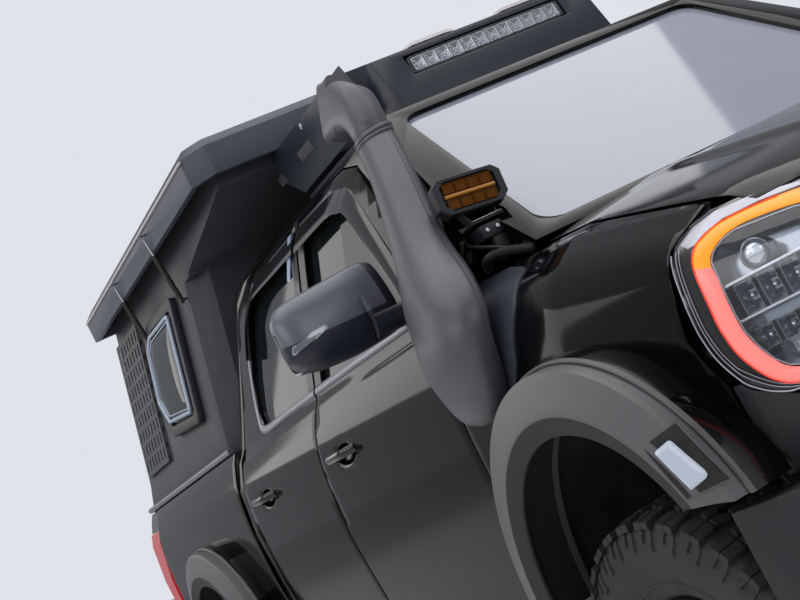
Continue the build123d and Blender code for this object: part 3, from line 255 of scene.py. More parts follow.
finishes = {
    "bodyGloss": makeFinish("bodyGloss", (0.002, 0.0024, 0.0035), 0.08, dust=0.008, patch=0.05, coat=0.05,
                            coatRough=0.02, roughSpread=0.02, ior=1.28),
    "flareReturn": makeFinish("flareReturn", (0.014, 0.017, 0.020), 0.6, grain=900, depth=0.0004, dust=0.05),
    "camperCoat": makeFinish("camperCoat", (0.046, 0.049, 0.058), 0.55, grain=700, depth=0.0007, dust=0.08,
                             dustTop=1.6),
    "lidCoat": makeFinish("lidCoat", (0.070, 0.080, 0.108), 0.45, grain=700, depth=0.0006, dust=0.04),
    "fairingSatin": makeFinish("fairingSatin", (0.018, 0.024, 0.036), 0.4, grain=600, depth=0.0004),
    "bumperCoat": makeFinish("bumperCoat", (0.014, 0.016, 0.021), 0.48, grain=900, depth=0.0006, dust=0.12),
    "frameBlack": makeFinish("frameBlack", (0.015, 0.015, 0.016), 0.5, grain=300, depth=0.0006, dust=0.75),
    "snorkelSatin": makeFinish("snorkelSatin", (0.098, 0.093, 0.110), 0.34, grain=1300, depth=0.0003, patch=0.04),
    "baseSatin": makeFinish("baseSatin", (0.050, 0.057, 0.075), 0.3, grain=1300, depth=0.0003, patch=0.04),
    "linerPlastic": makeFinish("linerPlastic", (0.009, 0.010, 0.013), 0.8, grain=260, depth=0.002, dust=0.35),
    "flareSatin": makeFinish("flareSatin", (0.125, 0.118, 0.128), 0.38, grain=1300, depth=0.0003, dust=0.1, patch=0.04),
    "trimGrey": makeFinish("trimGrey", (0.10, 0.10, 0.11), 0.4, grain=900, depth=0.0003),
    "glossTrim": makeFinish("glossTrim", (0.008, 0.008, 0.01), 0.12, coat=0.6, dust=0.05),
    # Mirror cap: its light lilac-grey is a painted sky highlight on the mirror head's upper half
    "mirrorCap": makeFinish("mirrorCap", (0.155, 0.162, 0.195), 0.30, metallic=0.25, grain=1200, depth=0.0002),
    "mirrorShell": makeFinish("mirrorShell", (0.020, 0.024, 0.036), 0.32, grain=1200, depth=0.0002),
    "mirrorGlass": makeFinish("mirrorGlass", (0.75, 0.77, 0.8), 0.03, metallic=1.0, patch=0.01, roughSpread=0.01),
    "lampClear": makeFinish("lampClear", (0.93, 0.95, 0.98), 0.04, transmission=1.0, roughSpread=0.02, patch=0.01,
                            ior=1.45),
    "lampChrome": makeFinish("lampChrome", (0.72, 0.74, 0.78), 0.12, metallic=1.0, roughSpread=0.05, patch=0.04),
    "lampDark": makeFinish("lampDark", (0.06, 0.065, 0.075), 0.28, grain=300, depth=0.0002),
    "tailRed": makeFinish("tailRed", (0.40, 0.010, 0.012), 0.1, coat=0.6, glow=((0.9, 0.02, 0.03), 0.25)),
    "amberGlow": makeFinish("amberGlow", (0.42, 0.16, 0.02), 0.2, coat=0.7, glow=((1.0, 0.42, 0.03), 0.10)),
    "tintGlass": makeFinish("tintGlass", (0.030, 0.038, 0.042), 0.03, transmission=0.6, roughSpread=0.015,
                            patch=0.02, ior=1.30),
    # Windscreen: its pale lilac base colour is a painted reflection of the sky, with only part transmission
    "screenGlassSkyReflection": makeFinish("screenGlassSkyReflection", (0.50, 0.53, 0.65), 0.05, transmission=0.30, roughSpread=0.02,
                              patch=0.02, ior=1.5, coat=0.6),
    "tyreRubber": makeFinish("tyreRubber", (0.022, 0.024, 0.028), 0.68, grain=500, depth=0.0007, dust=0.30,
                             dustTop=0.8),
    "rimBlack": makeFinish("rimBlack", (0.018, 0.019, 0.022), 0.34, grain=500, depth=0.0002, dust=0.25),
    "castIron": makeFinish("castIron", (0.075, 0.07, 0.065), 0.68, metallic=0.6, grain=240, depth=0.0015, dust=0.6),
    "satinSteel": makeFinish("satinSteel", (0.42, 0.42, 0.43), 0.36, metallic=1.0, grain=900, depth=0.0002, dust=0.3),
    "polishedRod": makeFinish("polishedRod", (0.70, 0.71, 0.73), 0.12, metallic=1.0, roughSpread=0.04),
    "boltSilver": makeFinish("boltSilver", (0.62, 0.63, 0.65), 0.28, metallic=1.0, roughSpread=0.08),
    "seatCloth": makeFinish("seatCloth", (0.040, 0.041, 0.045), 0.9, grain=1600, depth=0.0012),
    "dashGrain": makeFinish("dashGrain", (0.03, 0.03, 0.033), 0.62, grain=1000, depth=0.0006),
    "cableBlack": makeFinish("cableBlack", (0.014, 0.014, 0.015), 0.55, grain=900, depth=0.0003),
    # Lid edge: a light pinkish line painted as the sky's highlight along the lid's top edge
    "lidEdgeHighlight": makeFinish("lidEdgeHighlight", (0.62, 0.55, 0.56), 0.35, grain=900, depth=0.0002),
    "flareLens": makeFinish("flareLens", (0.50, 0.56, 0.66), 0.15, coat=0.6, glow=((0.75, 0.85, 1.0), 0.12)),
    "visorClip": makeFinish("visorClip", (0.42, 0.55, 0.75), 0.25, transmission=0.4),
    "beltSatin": makeFinish("beltSatin", (0.26, 0.25, 0.29), 0.3, metallic=0.5, grain=1300, depth=0.0002),
    "pillarStrip": makeFinish("pillarStrip", (0.085, 0.075, 0.078), 0.38, grain=1300, depth=0.0002),
    "paneReflectionLine": makeFinish("paneReflectionLine", (0.42, 0.50, 0.66), 0.12, coat=0.6),
    # Pane reflection lines: light lilac-blue bands painted as the sky's reflection on the bubble window's curved edge
    "ledWhite": makeFinish("ledWhite", (0.55, 0.57, 0.60), 0.2, glow=((0.95, 0.97, 1.0), 0.05)),
    "barPlate": makeFinish("barPlate", (0.78, 0.74, 0.74), 0.25, metallic=0.3),
    "guideAmber": makeFinish("guideAmber", (0.95, 0.28, 0.02), 0.25, glow=((1.0, 0.27, 0.015), 0.75)),
    "guideCoral": makeFinish("guideCoral", (0.95, 0.22, 0.20), 0.25, glow=((1.0, 0.20, 0.17), 0.75)),
    "guideRim": makeFinish("guideRim", (0.75, 0.06, 0.03), 0.25, glow=((0.9, 0.06, 0.02), 0.4)),
    "amberPane": makeFinish("amberPane", (0.12, 0.034, 0.001), 0.3, ior=1.15, glow=((1.0, 0.36, 0.02), 0.015)),
    "lampCell": makeFinish("lampCell", (0.30, 0.32, 0.36), 0.16, metallic=0.9, roughSpread=0.06, patch=0.10),
    "lampSilver": makeFinish("lampSilver", (0.60, 0.60, 0.68), 0.3, metallic=0.3),
}
print("finishes:", len(finishes))

makeCamera(cameraSettings)
makeStudio(lightSettings)
bpy.context.scene.view_settings.view_transform = "Standard"

# Finishes of the solids that show: by their slot, and by name where a slot has two finishes
slotFinish = {
    "body_paint": "bodyGloss", "camper_paint": "camperCoat", "fairing_paint": "fairingSatin",
    "bumper_paint": "bumperCoat", "frame_paint": "frameBlack", "trim_plastic": "snorkelSatin",
    "flare_plastic": "flareSatin", "grille_plastic": "glossTrim", "lamp_lens": "lampDark", "tail_lens": "tailRed",
    "amber_lamp": "glossTrim", "light_bar_metal": "fairingSatin", "glass": "tintGlass", "tyre": "tyreRubber",
    "rim_paint": "rimBlack", "cast_metal": "castIron", "steel": "satinSteel", "chrome_rod": "polishedRod",
    "seat_cloth": "seatCloth", "dash_plastic": "dashGrain",
}
nodeFinish = {
    "arch_liners": "linerPlastic", "camper_lid": "lidCoat", "camper_nose": "fairingSatin",
    "side_steps": "frameBlack", "cab_glass": "screenGlassSkyReflection",
}
for node, obj in frame["nodes"].items():
    obj.data.materials.clear()
    obj.data.materials.append(finishes[nodeFinish.get(node, slotFinish[nodeSlot[node]])])

# Wheels, in metres: what several pieces are placed by
axleX = {"front": 1.818, "rear": -1.452}
wheelY, wheelZ = 0.8475, 0.4155


def clamp(value):
    return min(max(value, 0.0), 1.0)


# Names a mesh as a piece, with its finish, the body it rides on and the nodes it replaces
def addPiece(name, mesh, finish, body, replaced=(), smooth=40.0):
    obj = bpy.data.objects.new(name, mesh)
    bpy.context.collection.objects.link(obj)
    if finish:
        mesh.materials.clear()
        mesh.materials.append(finishes[finish])
    if smooth:
        mesh.polygons.foreach_set("use_smooth", [True] * len(mesh.polygons))
        mesh.set_sharp_from_angle(angle=math.radians(smooth))
    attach(obj, body)
    if replaced:
        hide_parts(*replaced)
    return obj


# Turns an object with modifiers into a plain mesh
def bakeModifiers(obj):
    graph = bpy.context.evaluated_depsgraph_get()
    mesh = bpy.data.meshes.new_from_object(obj.evaluated_get(graph))
    bpy.data.objects.remove(obj)
    return mesh


def looseObject(name, mesh):
    obj = bpy.data.objects.new(name, mesh)
    bpy.context.collection.objects.link(obj)
    return obj


def meshFrom(name, verts, faces):
    mesh = bpy.data.meshes.new(name)
    mesh.from_pydata([tuple(v) for v in verts], [], faces)
    mesh.update()
    return mesh


def facingOut(mesh):
    work = bmesh.new()
    work.from_mesh(mesh)
    bmesh.ops.remove_doubles(work, verts=work.verts, dist=1e-5)
    bmesh.ops.recalc_face_normals(work, faces=work.faces)
    work.to_mesh(mesh)
    work.free()
    return mesh


# A skin over rings of equal point counts
def skinRings(name, rings, closeEnds=True):
    count = len(rings[0])
    verts = [point for ring in rings for point in ring]
    faces = []
    for row in range(len(rings) - 1):
        for i in range(count):
            j = (i + 1) % count
            faces.append((row * count + i, row * count + j, (row + 1) * count + j, (row + 1) * count + i))
    if closeEnds:
        faces.append(tuple(reversed(range(count))))
        faces.append(tuple(range((len(rings) - 1) * count, len(rings) * count)))
    return facingOut(meshFrom(name, verts, faces))


# Points of a rounded rectangle in the plane of u and v
def superRing(centre, u, v, halfU, halfV, power, count=32):
    ring = []
    for i in range(count):
        angle = 2 * math.pi * (i + 0.5) / count
        c, s = math.cos(angle), math.sin(angle)
        a = math.copysign(abs(c) ** (2 / power), c) * halfU
        b = math.copysign(abs(s) ** (2 / power), s) * halfV
        ring.append(centre + u * a + v * b)
    return ring


def boxMesh(name, low, high, bevel=0.0, segments=2):
    work = bmesh.new()
    bmesh.ops.create_cube(work, size=1.0)
    for vert in work.verts:
        vert.co = Vector([low[k] + (vert.co[k] + 0.5) * (high[k] - low[k]) for k in range(3)])
    if bevel:
        bmesh.ops.bevel(work, geom=work.edges[:], offset=bevel, segments=segments, profile=0.5, affect="EDGES")
    mesh = bpy.data.meshes.new(name)
    work.to_mesh(mesh)
    work.free()
    return mesh


def joinMeshes(name, meshes):
    work = bmesh.new()
    for mesh in meshes:
        work.from_mesh(mesh)
        bpy.data.meshes.remove(mesh)
    mesh = bpy.data.meshes.new(name)
    work.to_mesh(mesh)
    work.free()
    return mesh


# The same mesh on the other side of the vehicle
def mirrorMesh(name, mesh):
    work = bmesh.new()
    work.from_mesh(mesh)
    bmesh.ops.scale(work, vec=(1, -1, 1), verts=work.verts)
    bmesh.ops.reverse_faces(work, faces=work.faces)
    other = bpy.data.meshes.new(name)
    work.to_mesh(other)
    work.free()
    for material in mesh.materials:
        other.materials.append(material)
    return other


# A tube with an even section along a line of points
def tubeAlong(name, points, radius, sides=12, closed=False, radiusB=None):
    points = [Vector(p) for p in points]
    rings = []
    count = len(points)
    last = None
    for i, point in enumerate(points):
        before = points[i - 1] if i or closed else point
        after = points[(i + 1) % count] if i < count - 1 or closed else point
        along = (after - before).normalized()
        if last is None:
            last = along.cross(Vector((0, 0, 1)))
            if last.length < 0.1:
                last = along.cross(Vector((0, 1, 0)))
        side = (last - along * last.dot(along)).normalized()
        last = side
        rings.append(superRing(point, side, along.cross(side), radius, radiusB or radius, 2.0, sides))
    if closed:
        rings.append(rings[0])
    return skinRings(name, rings, closeEnds=not closed)


# Form of the cab's side, the bed and the nose, as in the solids: rows of height and half width
cabRows = [(0.590, 0.850), (0.650, 0.908), (0.860, 0.938), (1.130, 0.944), (1.300, 0.925), (1.395, 0.886),
           (1.435, 0.864), (1.960, 0.655), (2.024, 0.560), (2.046, 0.300), (2.054, 0.0)]
cabTaper = {
    "beltZ": 1.395, "height": 0.565, "roofHalf": 0.655,
    "rearX": -0.300, "rear": 0.022, "rearRun": 0.6, "frontX": 0.6, "front": 0.074,
}
bedRows = [(0.640, 0.890), (0.860, 0.938), (1.130, 0.944), (1.300, 0.926), (1.400, 0.890), (1.440, 0.868)]
noseSections = [
    (1.200, [(0.620, 0.880), (0.860, 0.938), (1.120, 0.944), (1.290, 0.925), (1.384, 0.880), (1.434, 0.800),
             (1.466, 0.700), (1.500, 0.350), (1.508, 0.0)]),
    (1.818, [(0.620, 0.880), (0.860, 0.938), (1.100, 0.944), (1.240, 0.925), (1.330, 0.875), (1.384, 0.800),
             (1.414, 0.700), (1.446, 0.350), (1.456, 0.0)]),
    (2.300, [(0.620, 0.850), (0.860, 0.895), (1.050, 0.900), (1.180, 0.884), (1.246, 0.850), (1.288, 0.780),
             (1.322, 0.690), (1.362, 0.350), (1.376, 0.0)]),
    (2.632, [(0.620, 0.660), (0.860, 0.700), (1.050, 0.704), (1.150, 0.690), (1.200, 0.660), (1.232, 0.600),
             (1.256, 0.530), (1.292, 0.290), (1.306, 0.0)]),
]


# Reads a table of (z, half width) along a smooth curve through its points
def readRows(rows, z):
    z = min(max(z, rows[0][0]), rows[-1][0])
    for i, ((z0, y0), (z1, y1)) in enumerate(zip(rows, rows[1:])):
        if z <= z1:
            before, after = rows[max(i - 1, 0)], rows[min(i + 2, len(rows) - 1)]
            span = z1 - z0
            slope0 = (y1 - before[1]) / (z1 - before[0]) * span
            slope1 = (after[1] - y0) / (after[0] - z0) * span
            t = (z - z0) / span
            return (((2 * t - 3) * t * t + 1) * y0 + ((t - 2) * t + 1) * t * slope0
                    + (3 - 2 * t) * t * t * y1 + (t - 1) * t * t * slope1)
    return rows[-1][1]


# A smooth curve through rows of numbers, read at t from 0 to 1 along the rows
def readCurve(rows, t):
    count = len(rows) - 1
    place = min(max(t * count, 0.0), count - 1e-6)
    i = int(place)
    s = place - i
    p0, p1, p2, p3 = rows[max(i - 1, 0)], rows[i], rows[i + 1], rows[min(i + 2, count)]
    return [0.5 * (2 * b + (c - a) * s + (2 * a - 5 * b + 4 * c - d) * s * s + (3 * b - a - 3 * c + d) * s ** 3)
            for a, b, c, d in zip(p0, p1, p2, p3)]


# The cab's side, narrower towards both ends above the belt line
def cabHalfWidth(x, z):
    y = readRows(cabRows, z)
    taper = cabTaper
    if z > taper["beltZ"]:
        share = clamp((z - taper["beltZ"]) / taper["height"])
        taken = 0.0
        if x < taper["rearX"]:
            taken = taper["rear"] * (taper["rearX"] - x) / taper["rearRun"]
        elif x > taper["frontX"]:
            taken = taper["front"] * (x - taper["frontX"])
        y *= 1.0 - taken * (0.35 + 0.65 * share) / taper["roofHalf"]
    return y


# The nose's section at x: rows of height and half width
def noseRows(x):
    for (x0, rowsA), (x1, rowsB) in zip(noseSections, noseSections[1:]):
        if x <= x1 or x1 == noseSections[-1][0]:
            t = (x - x0) / (x1 - x0)
            return [(a[0] * (1 - t) + b[0] * t, a[1] * (1 - t) + b[1] * t) for a, b in zip(rowsA, rowsB)]


def noseHalfWidth(x, z):
    return readRows(noseRows(x), z)


# The nose's height over the ground at a place in plan, on its upper side
def hoodHeight(x, y):
    upper = sorted((-width, height) for height, width in noseRows(x)[4:])
    return readRows(upper, -abs(y))


def arcPoints(centreX, centreZ, radius, start, end, count):
    points = []
    for i in range(count):
        angle = math.radians(start + (end - start) * i / (count - 1))
        points.append((centreX + radius * math.cos(angle), centreZ + radius * math.sin(angle)))
    return points


# Corners of an outline turned into short arcs
def roundedOutline(points, radius, steps=5):
    result = []
    count = len(points)
    for i, point in enumerate(points):
        corner = Vector(point)
        toLast, toNext = Vector(points[i - 1]) - corner, Vector(points[(i + 1) % count]) - corner
        half = toLast.angle(toNext) / 2
        reach = min(radius / max(math.tan(half), 0.05), toLast.length * 0.45, toNext.length * 0.45)
        start, end = corner + toLast.normalized() * reach, corner + toNext.normalized() * reach
        for k in range(steps + 1):
            t = k / steps
            result.append(tuple(start * (1 - t) ** 2 + corner * 2 * t * (1 - t) + end * t * t))
    return result


def steps(low, high, pitch):
    count = max(int(round((high - low) / pitch)), 1)
    return [low + (high - low) * i / count for i in range(1, count)]


# A sheet cut to an outline with holes, laid on a surface and given a thickness with rounded edges.
# place(u, v) puts a point of the flat sheet in space; outline and holes are lists of (u, v).
def trimmedSkin(name, outline, holes, cutsU, cutsV, place, thickness=0.004, edge=0.003, segments=2):
    work = bmesh.new()
    edges = []
    for loop in [outline] + holes:
        verts = [work.verts.new((u, v, 0)) for u, v in loop]
        edges += [work.edges.new((verts[i], verts[(i + 1) % len(verts)])) for i in range(len(verts))]
    bmesh.ops.triangle_fill(work, use_beauty=True, use_dissolve=False, edges=edges, normal=(0, 0, 1))
    bmesh.ops.dissolve_limit(work, angle_limit=0.01, verts=work.verts, edges=work.edges)
    for axis, cuts in ((0, cutsU), (1, cutsV)):
        normal = Vector((1, 0, 0)) if axis == 0 else Vector((0, 1, 0))
        for cut in cuts:
            bmesh.ops.bisect_plane(work, geom=work.verts[:] + work.edges[:] + work.faces[:], dist=1e-6,
                                   plane_co=normal * cut, plane_no=normal)
    for vert in work.verts:
        vert.co = place(vert.co.x, vert.co.y)
    work.normal_update()
    mesh = bpy.data.meshes.new(name)
    work.to_mesh(mesh)
    work.free()
    obj = looseObject(name, mesh)
    solid = obj.modifiers.new("thickness", "SOLIDIFY")
    solid.thickness, solid.offset = thickness, -1.0
    if edge:
        bevel = obj.modifiers.new("edge", "BEVEL")
        bevel.width, bevel.segments, bevel.limit_method, bevel.angle_limit = edge, segments, "ANGLE", math.radians(60)
    return bakeModifiers(obj)


# A merged copy of a CAD node's mesh, in the row frame
def nodeMesh(node, name, change=None, drop=None):
    work = bmesh.new()
    work.from_mesh(frame["nodes"][node].data)
    bmesh.ops.remove_doubles(work, verts=work.verts, dist=2e-5)
    if drop:
        bmesh.ops.delete(work, geom=[face for face in work.faces if drop(face.calc_center_median())], context="FACES")
    if change:
        for vert in work.verts:
            vert.co = change(vert.co)
    mesh = bpy.data.meshes.new(name)
    work.to_mesh(mesh)
    work.free()
    return mesh


# A CAD node's copy with its hard edges rounded
def bevelledNode(node, name, width, angle=32.0, segments=2, change=None):
    mesh = nodeMesh(node, name, change)
    work = bmesh.new()
    work.from_mesh(mesh)
    bmesh.ops.dissolve_limit(work, angle_limit=math.radians(0.6), verts=work.verts, edges=work.edges)
    work.to_mesh(mesh)
    work.free()
    obj = looseObject(name, mesh)
    bevel = obj.modifiers.new("edge", "BEVEL")
    bevel.width, bevel.segments, bevel.limit_method, bevel.angle_limit = width, segments, "ANGLE", math.radians(angle)
    bevel.harden_normals = False
    return bakeModifiers(obj)


def withMaterials(mesh, *names):
    mesh.materials.clear()
    for name in names:
        mesh.materials.append(finishes[name])
    return mesh


# A piece on each side of the vehicle from the right-hand mesh, which has its materials already;
# bodies and nodes carry the side's word
def bothSides(name, mesh, body, replaced=(), smooth=40.0):
    other = mirrorMesh(name + "Left", mesh)
    for side, part in (("right", mesh), ("left", other)):
        bodyName = body.replace("SIDE", side)
        nodes = [node.replace("SIDE", side) for node in replaced]
        addPiece(name + side.capitalize(), part, None, bodyName, nodes, smooth)


def addPieceBoth(name, mesh, finish, body, replaced=(), smooth=40.0):
    bothSides(name, withMaterials(mesh, finish), body, replaced, smooth)


# Doors: a smooth skin over each, with its handle's cup pressed in
doorLook = {
    "skin": 0.005, "skinEdge": 0.0028, "pushIn": 0.006, "cupPushIn": 0.016,
    "frontOutline": [(1.256, 0.655), (1.256, 1.440), (1.228, 1.478), (0.800, 1.928), (0.700, 1.956), (0.237, 1.966),
                     (0.232, 1.420), (0.190, 1.240), (0.160, 1.000), (0.160, 0.655)],
    "rearOutline": [(0.152, 0.655), (0.152, 1.000), (0.182, 1.240), (0.222, 1.420), (0.217, 1.966), (-0.430, 1.952),
                    (-0.600, 1.890), (-0.700, 1.470), (-0.725, 1.400), (-0.725, 0.900), (-0.660, 0.655)],
    "frontWindow": [(1.106, 1.462), (0.748, 1.858), (0.640, 1.908), (0.300, 1.916), (0.300, 1.458)],
    "rearWindow": [(0.156, 1.458), (0.156, 1.914), (-0.330, 1.900), (-0.440, 1.846), (-0.478, 1.640), (-0.450, 1.510),
                   (-0.392, 1.458)],
    "frontHandleX": 0.407, "rearHandleX": -0.480, "handleZ": 1.236, "handleY": 0.9345,
    "handleLength": 0.098, "handleBow": 0.040, "cupDepth": 0.020, "cupLength": 0.088, "cupHeight": 0.040,
}


def doorSurface(handleX):
    def place(x, z):
        along = abs(x - handleX) / doorLook["cupLength"]
        across = abs(z - doorLook["handleZ"] + 0.004) / doorLook["cupHeight"]
        reach = (along ** 3.0 + across ** 3.0) ** (1 / 3.0)
        dish = doorLook["cupDepth"] * (0.5 + 0.5 * math.cos(math.pi * min(reach, 1.0)))
        return Vector((x, -(cabHalfWidth(x, z) - dish), z))
    return place


def makeDoor(place):
    look = doorLook
    handleX = look[place + "HandleX"]
    cutsX = steps(-0.73, 1.26, 0.05) + steps(handleX - 0.10, handleX + 0.10, 0.0125)
    cutsZ = steps(0.655, 1.966, 0.028) + steps(1.190, 1.285, 0.008) + steps(1.38, 1.46, 0.008)
    skin = trimmedSkin("doorSkin", roundedOutline(look[place + "Outline"], 0.018),
                       [roundedOutline(look[place + "Window"], 0.012)], cutsX, cutsZ, doorSurface(handleX),
                       look["skin"], look["skinEdge"])

    # The solid's outer faces go in behind the skin, and further in behind the cup
    def pushIn(point):
        outer = cabHalfWidth(point.x, point.z)
        if abs(point.y) <= outer - 0.008:
            return point
        behindCup = abs(point.x - handleX) < 0.13 and 1.17 < point.z < 1.3
        return Vector((point.x, -(outer - look["pushIn"] - look["cupPushIn"] * behindCup), point.z))

    inner = nodeMesh("door_%s_right" % place, "doorInner", pushIn,
                     lambda c: abs(c.y) > cabHalfWidth(c.x, c.z) + 0.0012)
    body = "door_%s_SIDE" % place
    addPieceBoth("doorPanel" + place.capitalize(), joinMeshes("door" + place, [skin, inner]), "bodyGloss", body,
                 [body], 35.0)
    path = []
    for i in range(17):
        t = i / 8 - 1
        bow = look["handleBow"] * (1 - abs(t) ** 5.0)
        path.append((handleX + t * look["handleLength"], -(look["handleY"] + bow), look["handleZ"]))
    strap = tubeAlong("handle", path, 0.0075, 16, radiusB=0.0135)
    addPieceBoth("doorHandle" + place.capitalize(), strap, "glossTrim", body)


makeDoor("front")
makeDoor("rear")
print("doors done")

# Fenders: the smooth nose skin outside, the solid's copy behind it
fenderLook = {
    "archX": axleX["front"], "archZ": 0.663, "archRadius": 0.466, "bonnetEdgeY": 0.751,
    "lamp": [(2.2370, 1.038), (2.214, 1.101), (2.226, 1.178), (2.228, 1.262), (2.262, 1.302)],
}


def seamHeight(x):
    return hoodHeight(x, fenderLook["bonnetEdgeY"])


def makeFenders():
    look = fenderLook
    arch = arcPoints(look["archX"], look["archZ"], look["archRadius"], 20.4, 182.0, 48)
    top = [(x, seamHeight(x)) for x in (2.15, 2.0, 1.85, 1.7, 1.578)]
    lamp = [(x - 0.006, z) for x, z in look["lamp"]]
    lamp[-1] = (2.258, seamHeight(2.258) - 0.001)
    rear = [(1.5, 1.428), (1.40, 1.436), (1.262, 1.444), (1.262, 0.642), (1.353, 0.642)]
    outline = [(2.255, 0.995), (2.240, 1.022)] + lamp + top + rear + list(reversed(arch))
    cutsX = steps(1.262, 2.262, 0.025)
    cutsZ = steps(0.64, 1.30, 0.025) + steps(1.28, 1.45, 0.008)
    skin = trimmedSkin("fenderSkin", outline, [], cutsX, cutsZ, lambda x, z: Vector((x, -noseHalfWidth(x, z), z)),
                       doorLook["skin"], doorLook["skinEdge"])

    def pushIn(point):
        outer = noseHalfWidth(point.x, point.z)
        if point.y < -(outer - 0.008):
            return Vector((point.x, -(outer - 0.007), point.z - (0.006 if point.z > 1.3 else 0)))
        return point

    inner = nodeMesh("fenders", "fenderInner", pushIn, lambda c: c.y > 0)
    mesh = joinMeshes("fender", [skin, inner])
    other = mirrorMesh("fenderLeft", mesh)
    both = joinMeshes("fendersBoth", [mesh, other])
    addPiece("fenderPanels", withMaterials(both, "bodyGloss"), None, "vehicle", ["fenders"], 35.0)


makeFenders()

# Bonnet: its plan laid on the nose's upper side
bonnetLook = {
    "plan": [(1.578, -0.700), (2.380, -0.745), (2.500, -0.640), (2.590, -0.400), (2.612, -0.10)],
    "ribY": 0.43, "ribWidth": 0.035, "ribHeight": 0.010, "ribRearX": 1.6, "ribFrontX": 2.5,
    "fineY": [0.70, 0.72, 0.735, 0.37, 0.40, 0.43, 0.46, 0.49],
}


def makeBonnet():
    look = bonnetLook
    half = look["plan"]
    outline = half + [(x, -y) for x, y in reversed(half)]

    def place(x, y):
        rib = look["ribHeight"] * math.exp(-((abs(y) - look["ribY"]) / look["ribWidth"]) ** 2)
        rib = rib * clamp((look["ribFrontX"] - x) / 0.2) * clamp((x - look["ribRearX"]) / 0.1)
        return Vector((x, y, hoodHeight(x, y) + rib))

    def pushDown(point):
        onTop = point.z > hoodHeight(point.x, point.y) - 0.01
        return Vector((point.x, point.y, point.z - 0.007 if onTop else point.z))

    cutsX = steps(1.578, 2.612, 0.03)
    cutsY = steps(-0.745, 0.745, 0.03) + [sign * y for sign in (-1, 1) for y in look["fineY"]]
    skin = trimmedSkin("bonnetSkin", roundedOutline(outline, 0.012), [], cutsX, cutsY, place,
                       doorLook["skin"], doorLook["skinEdge"])
    mesh = joinMeshes("bonnet", [skin, nodeMesh("bonnet", "bonnetUnder", pushDown)])
    addPiece("bonnetPanel", withMaterials(mesh, "bodyGloss"), None, "bonnet", ["bonnet"], 35.0)


makeBonnet()

# Load bed sides
bedLook = {
    "archX": axleX["rear"], "archZ": 0.663, "archRadius": 0.466,
    "outline": [(-0.812, 0.646), (-0.812, 1.439), (-2.332, 1.439), (-2.332, 1.356), (-2.330, 1.000),
                (-2.519, 1.000), (-2.519, 0.646), (-1.9175, 0.646)],
    "archFoot": (-0.986, 0.646),
}


def makeBed():
    look = bedLook
    arch = arcPoints(look["archX"], look["archZ"], look["archRadius"], -2.0, 182.0, 56)
    outline = look["outline"] + list(reversed(arch)) + [look["archFoot"]]
    cutsX = steps(-2.52, -0.812, 0.04)
    cutsZ = steps(0.646, 1.44, 0.028) + steps(1.38, 1.44, 0.008)
    skin = trimmedSkin("bedSkin", outline, [], cutsX, cutsZ, lambda x, z: Vector((x, -readRows(bedRows, z), z)),
                       doorLook["skin"], doorLook["skinEdge"])

    def pushIn(point):
        outer = readRows(bedRows, point.z)
        if abs(point.y) <= outer - 0.008:
            return point
        return Vector((point.x, math.copysign(outer - 0.007, point.y), point.z))

    inner = nodeMesh("load_bed", "bedInner", pushIn)
    other = mirrorMesh("bedSkinLeft", skin)
    mesh = joinMeshes("bedSides", [skin, other, inner])
    addPiece("loadBedPanels", withMaterials(mesh, "bodyGloss"), None, "vehicle", ["load_bed"], 35.0)


makeBed()
print("painted panels done")

# Solids shown with their edges rounded: node, piece, finish, edge width
bevelledNodes = [
    ("cab_body", "cabShell", "bodyGloss", 0.003), ("front_bumper", "bumperBeam", "bumperCoat", 0.006),
    ("rear_bumper", "rearBumperBeam", "bumperCoat", 0.006), ("tailgate", "tailgatePanel", "bodyGloss", 0.005),
    ("camper_body", "camperShell", "camperCoat", 0.003), ("camper_lid", "camperLidShell", "lidCoat", 0.004),
    ("camper_nose", "camperNosePlates", "fairingSatin", 0.0015),
    ("camper_door", "camperHatchPanel", "camperCoat", 0.004),
    ("roof_fairing", "roofFairingWedge", "fairingSatin", 0.006), ("chassis_frame", "ladderFrame", "frameBlack", 0.004),
    ("engine_block", "engineCase", "castIron", 0.02), ("seats", "seatCushions", "seatCloth", 0.03),
    ("dashboard", "dashboardPanel", "dashGrain", 0.006), ("arch_liners", "archLinerShells", "linerPlastic", 0.002),
    ("grille", "grilleFrame", "glossTrim", 0.003),
]
for node, piece, finish, width in bevelledNodes:
    mesh = bevelledNode(node, piece, width)
    addPiece(piece, withMaterials(mesh, finish), None, nodeBody[node], [node], 40.0)
print("rounded solids done")

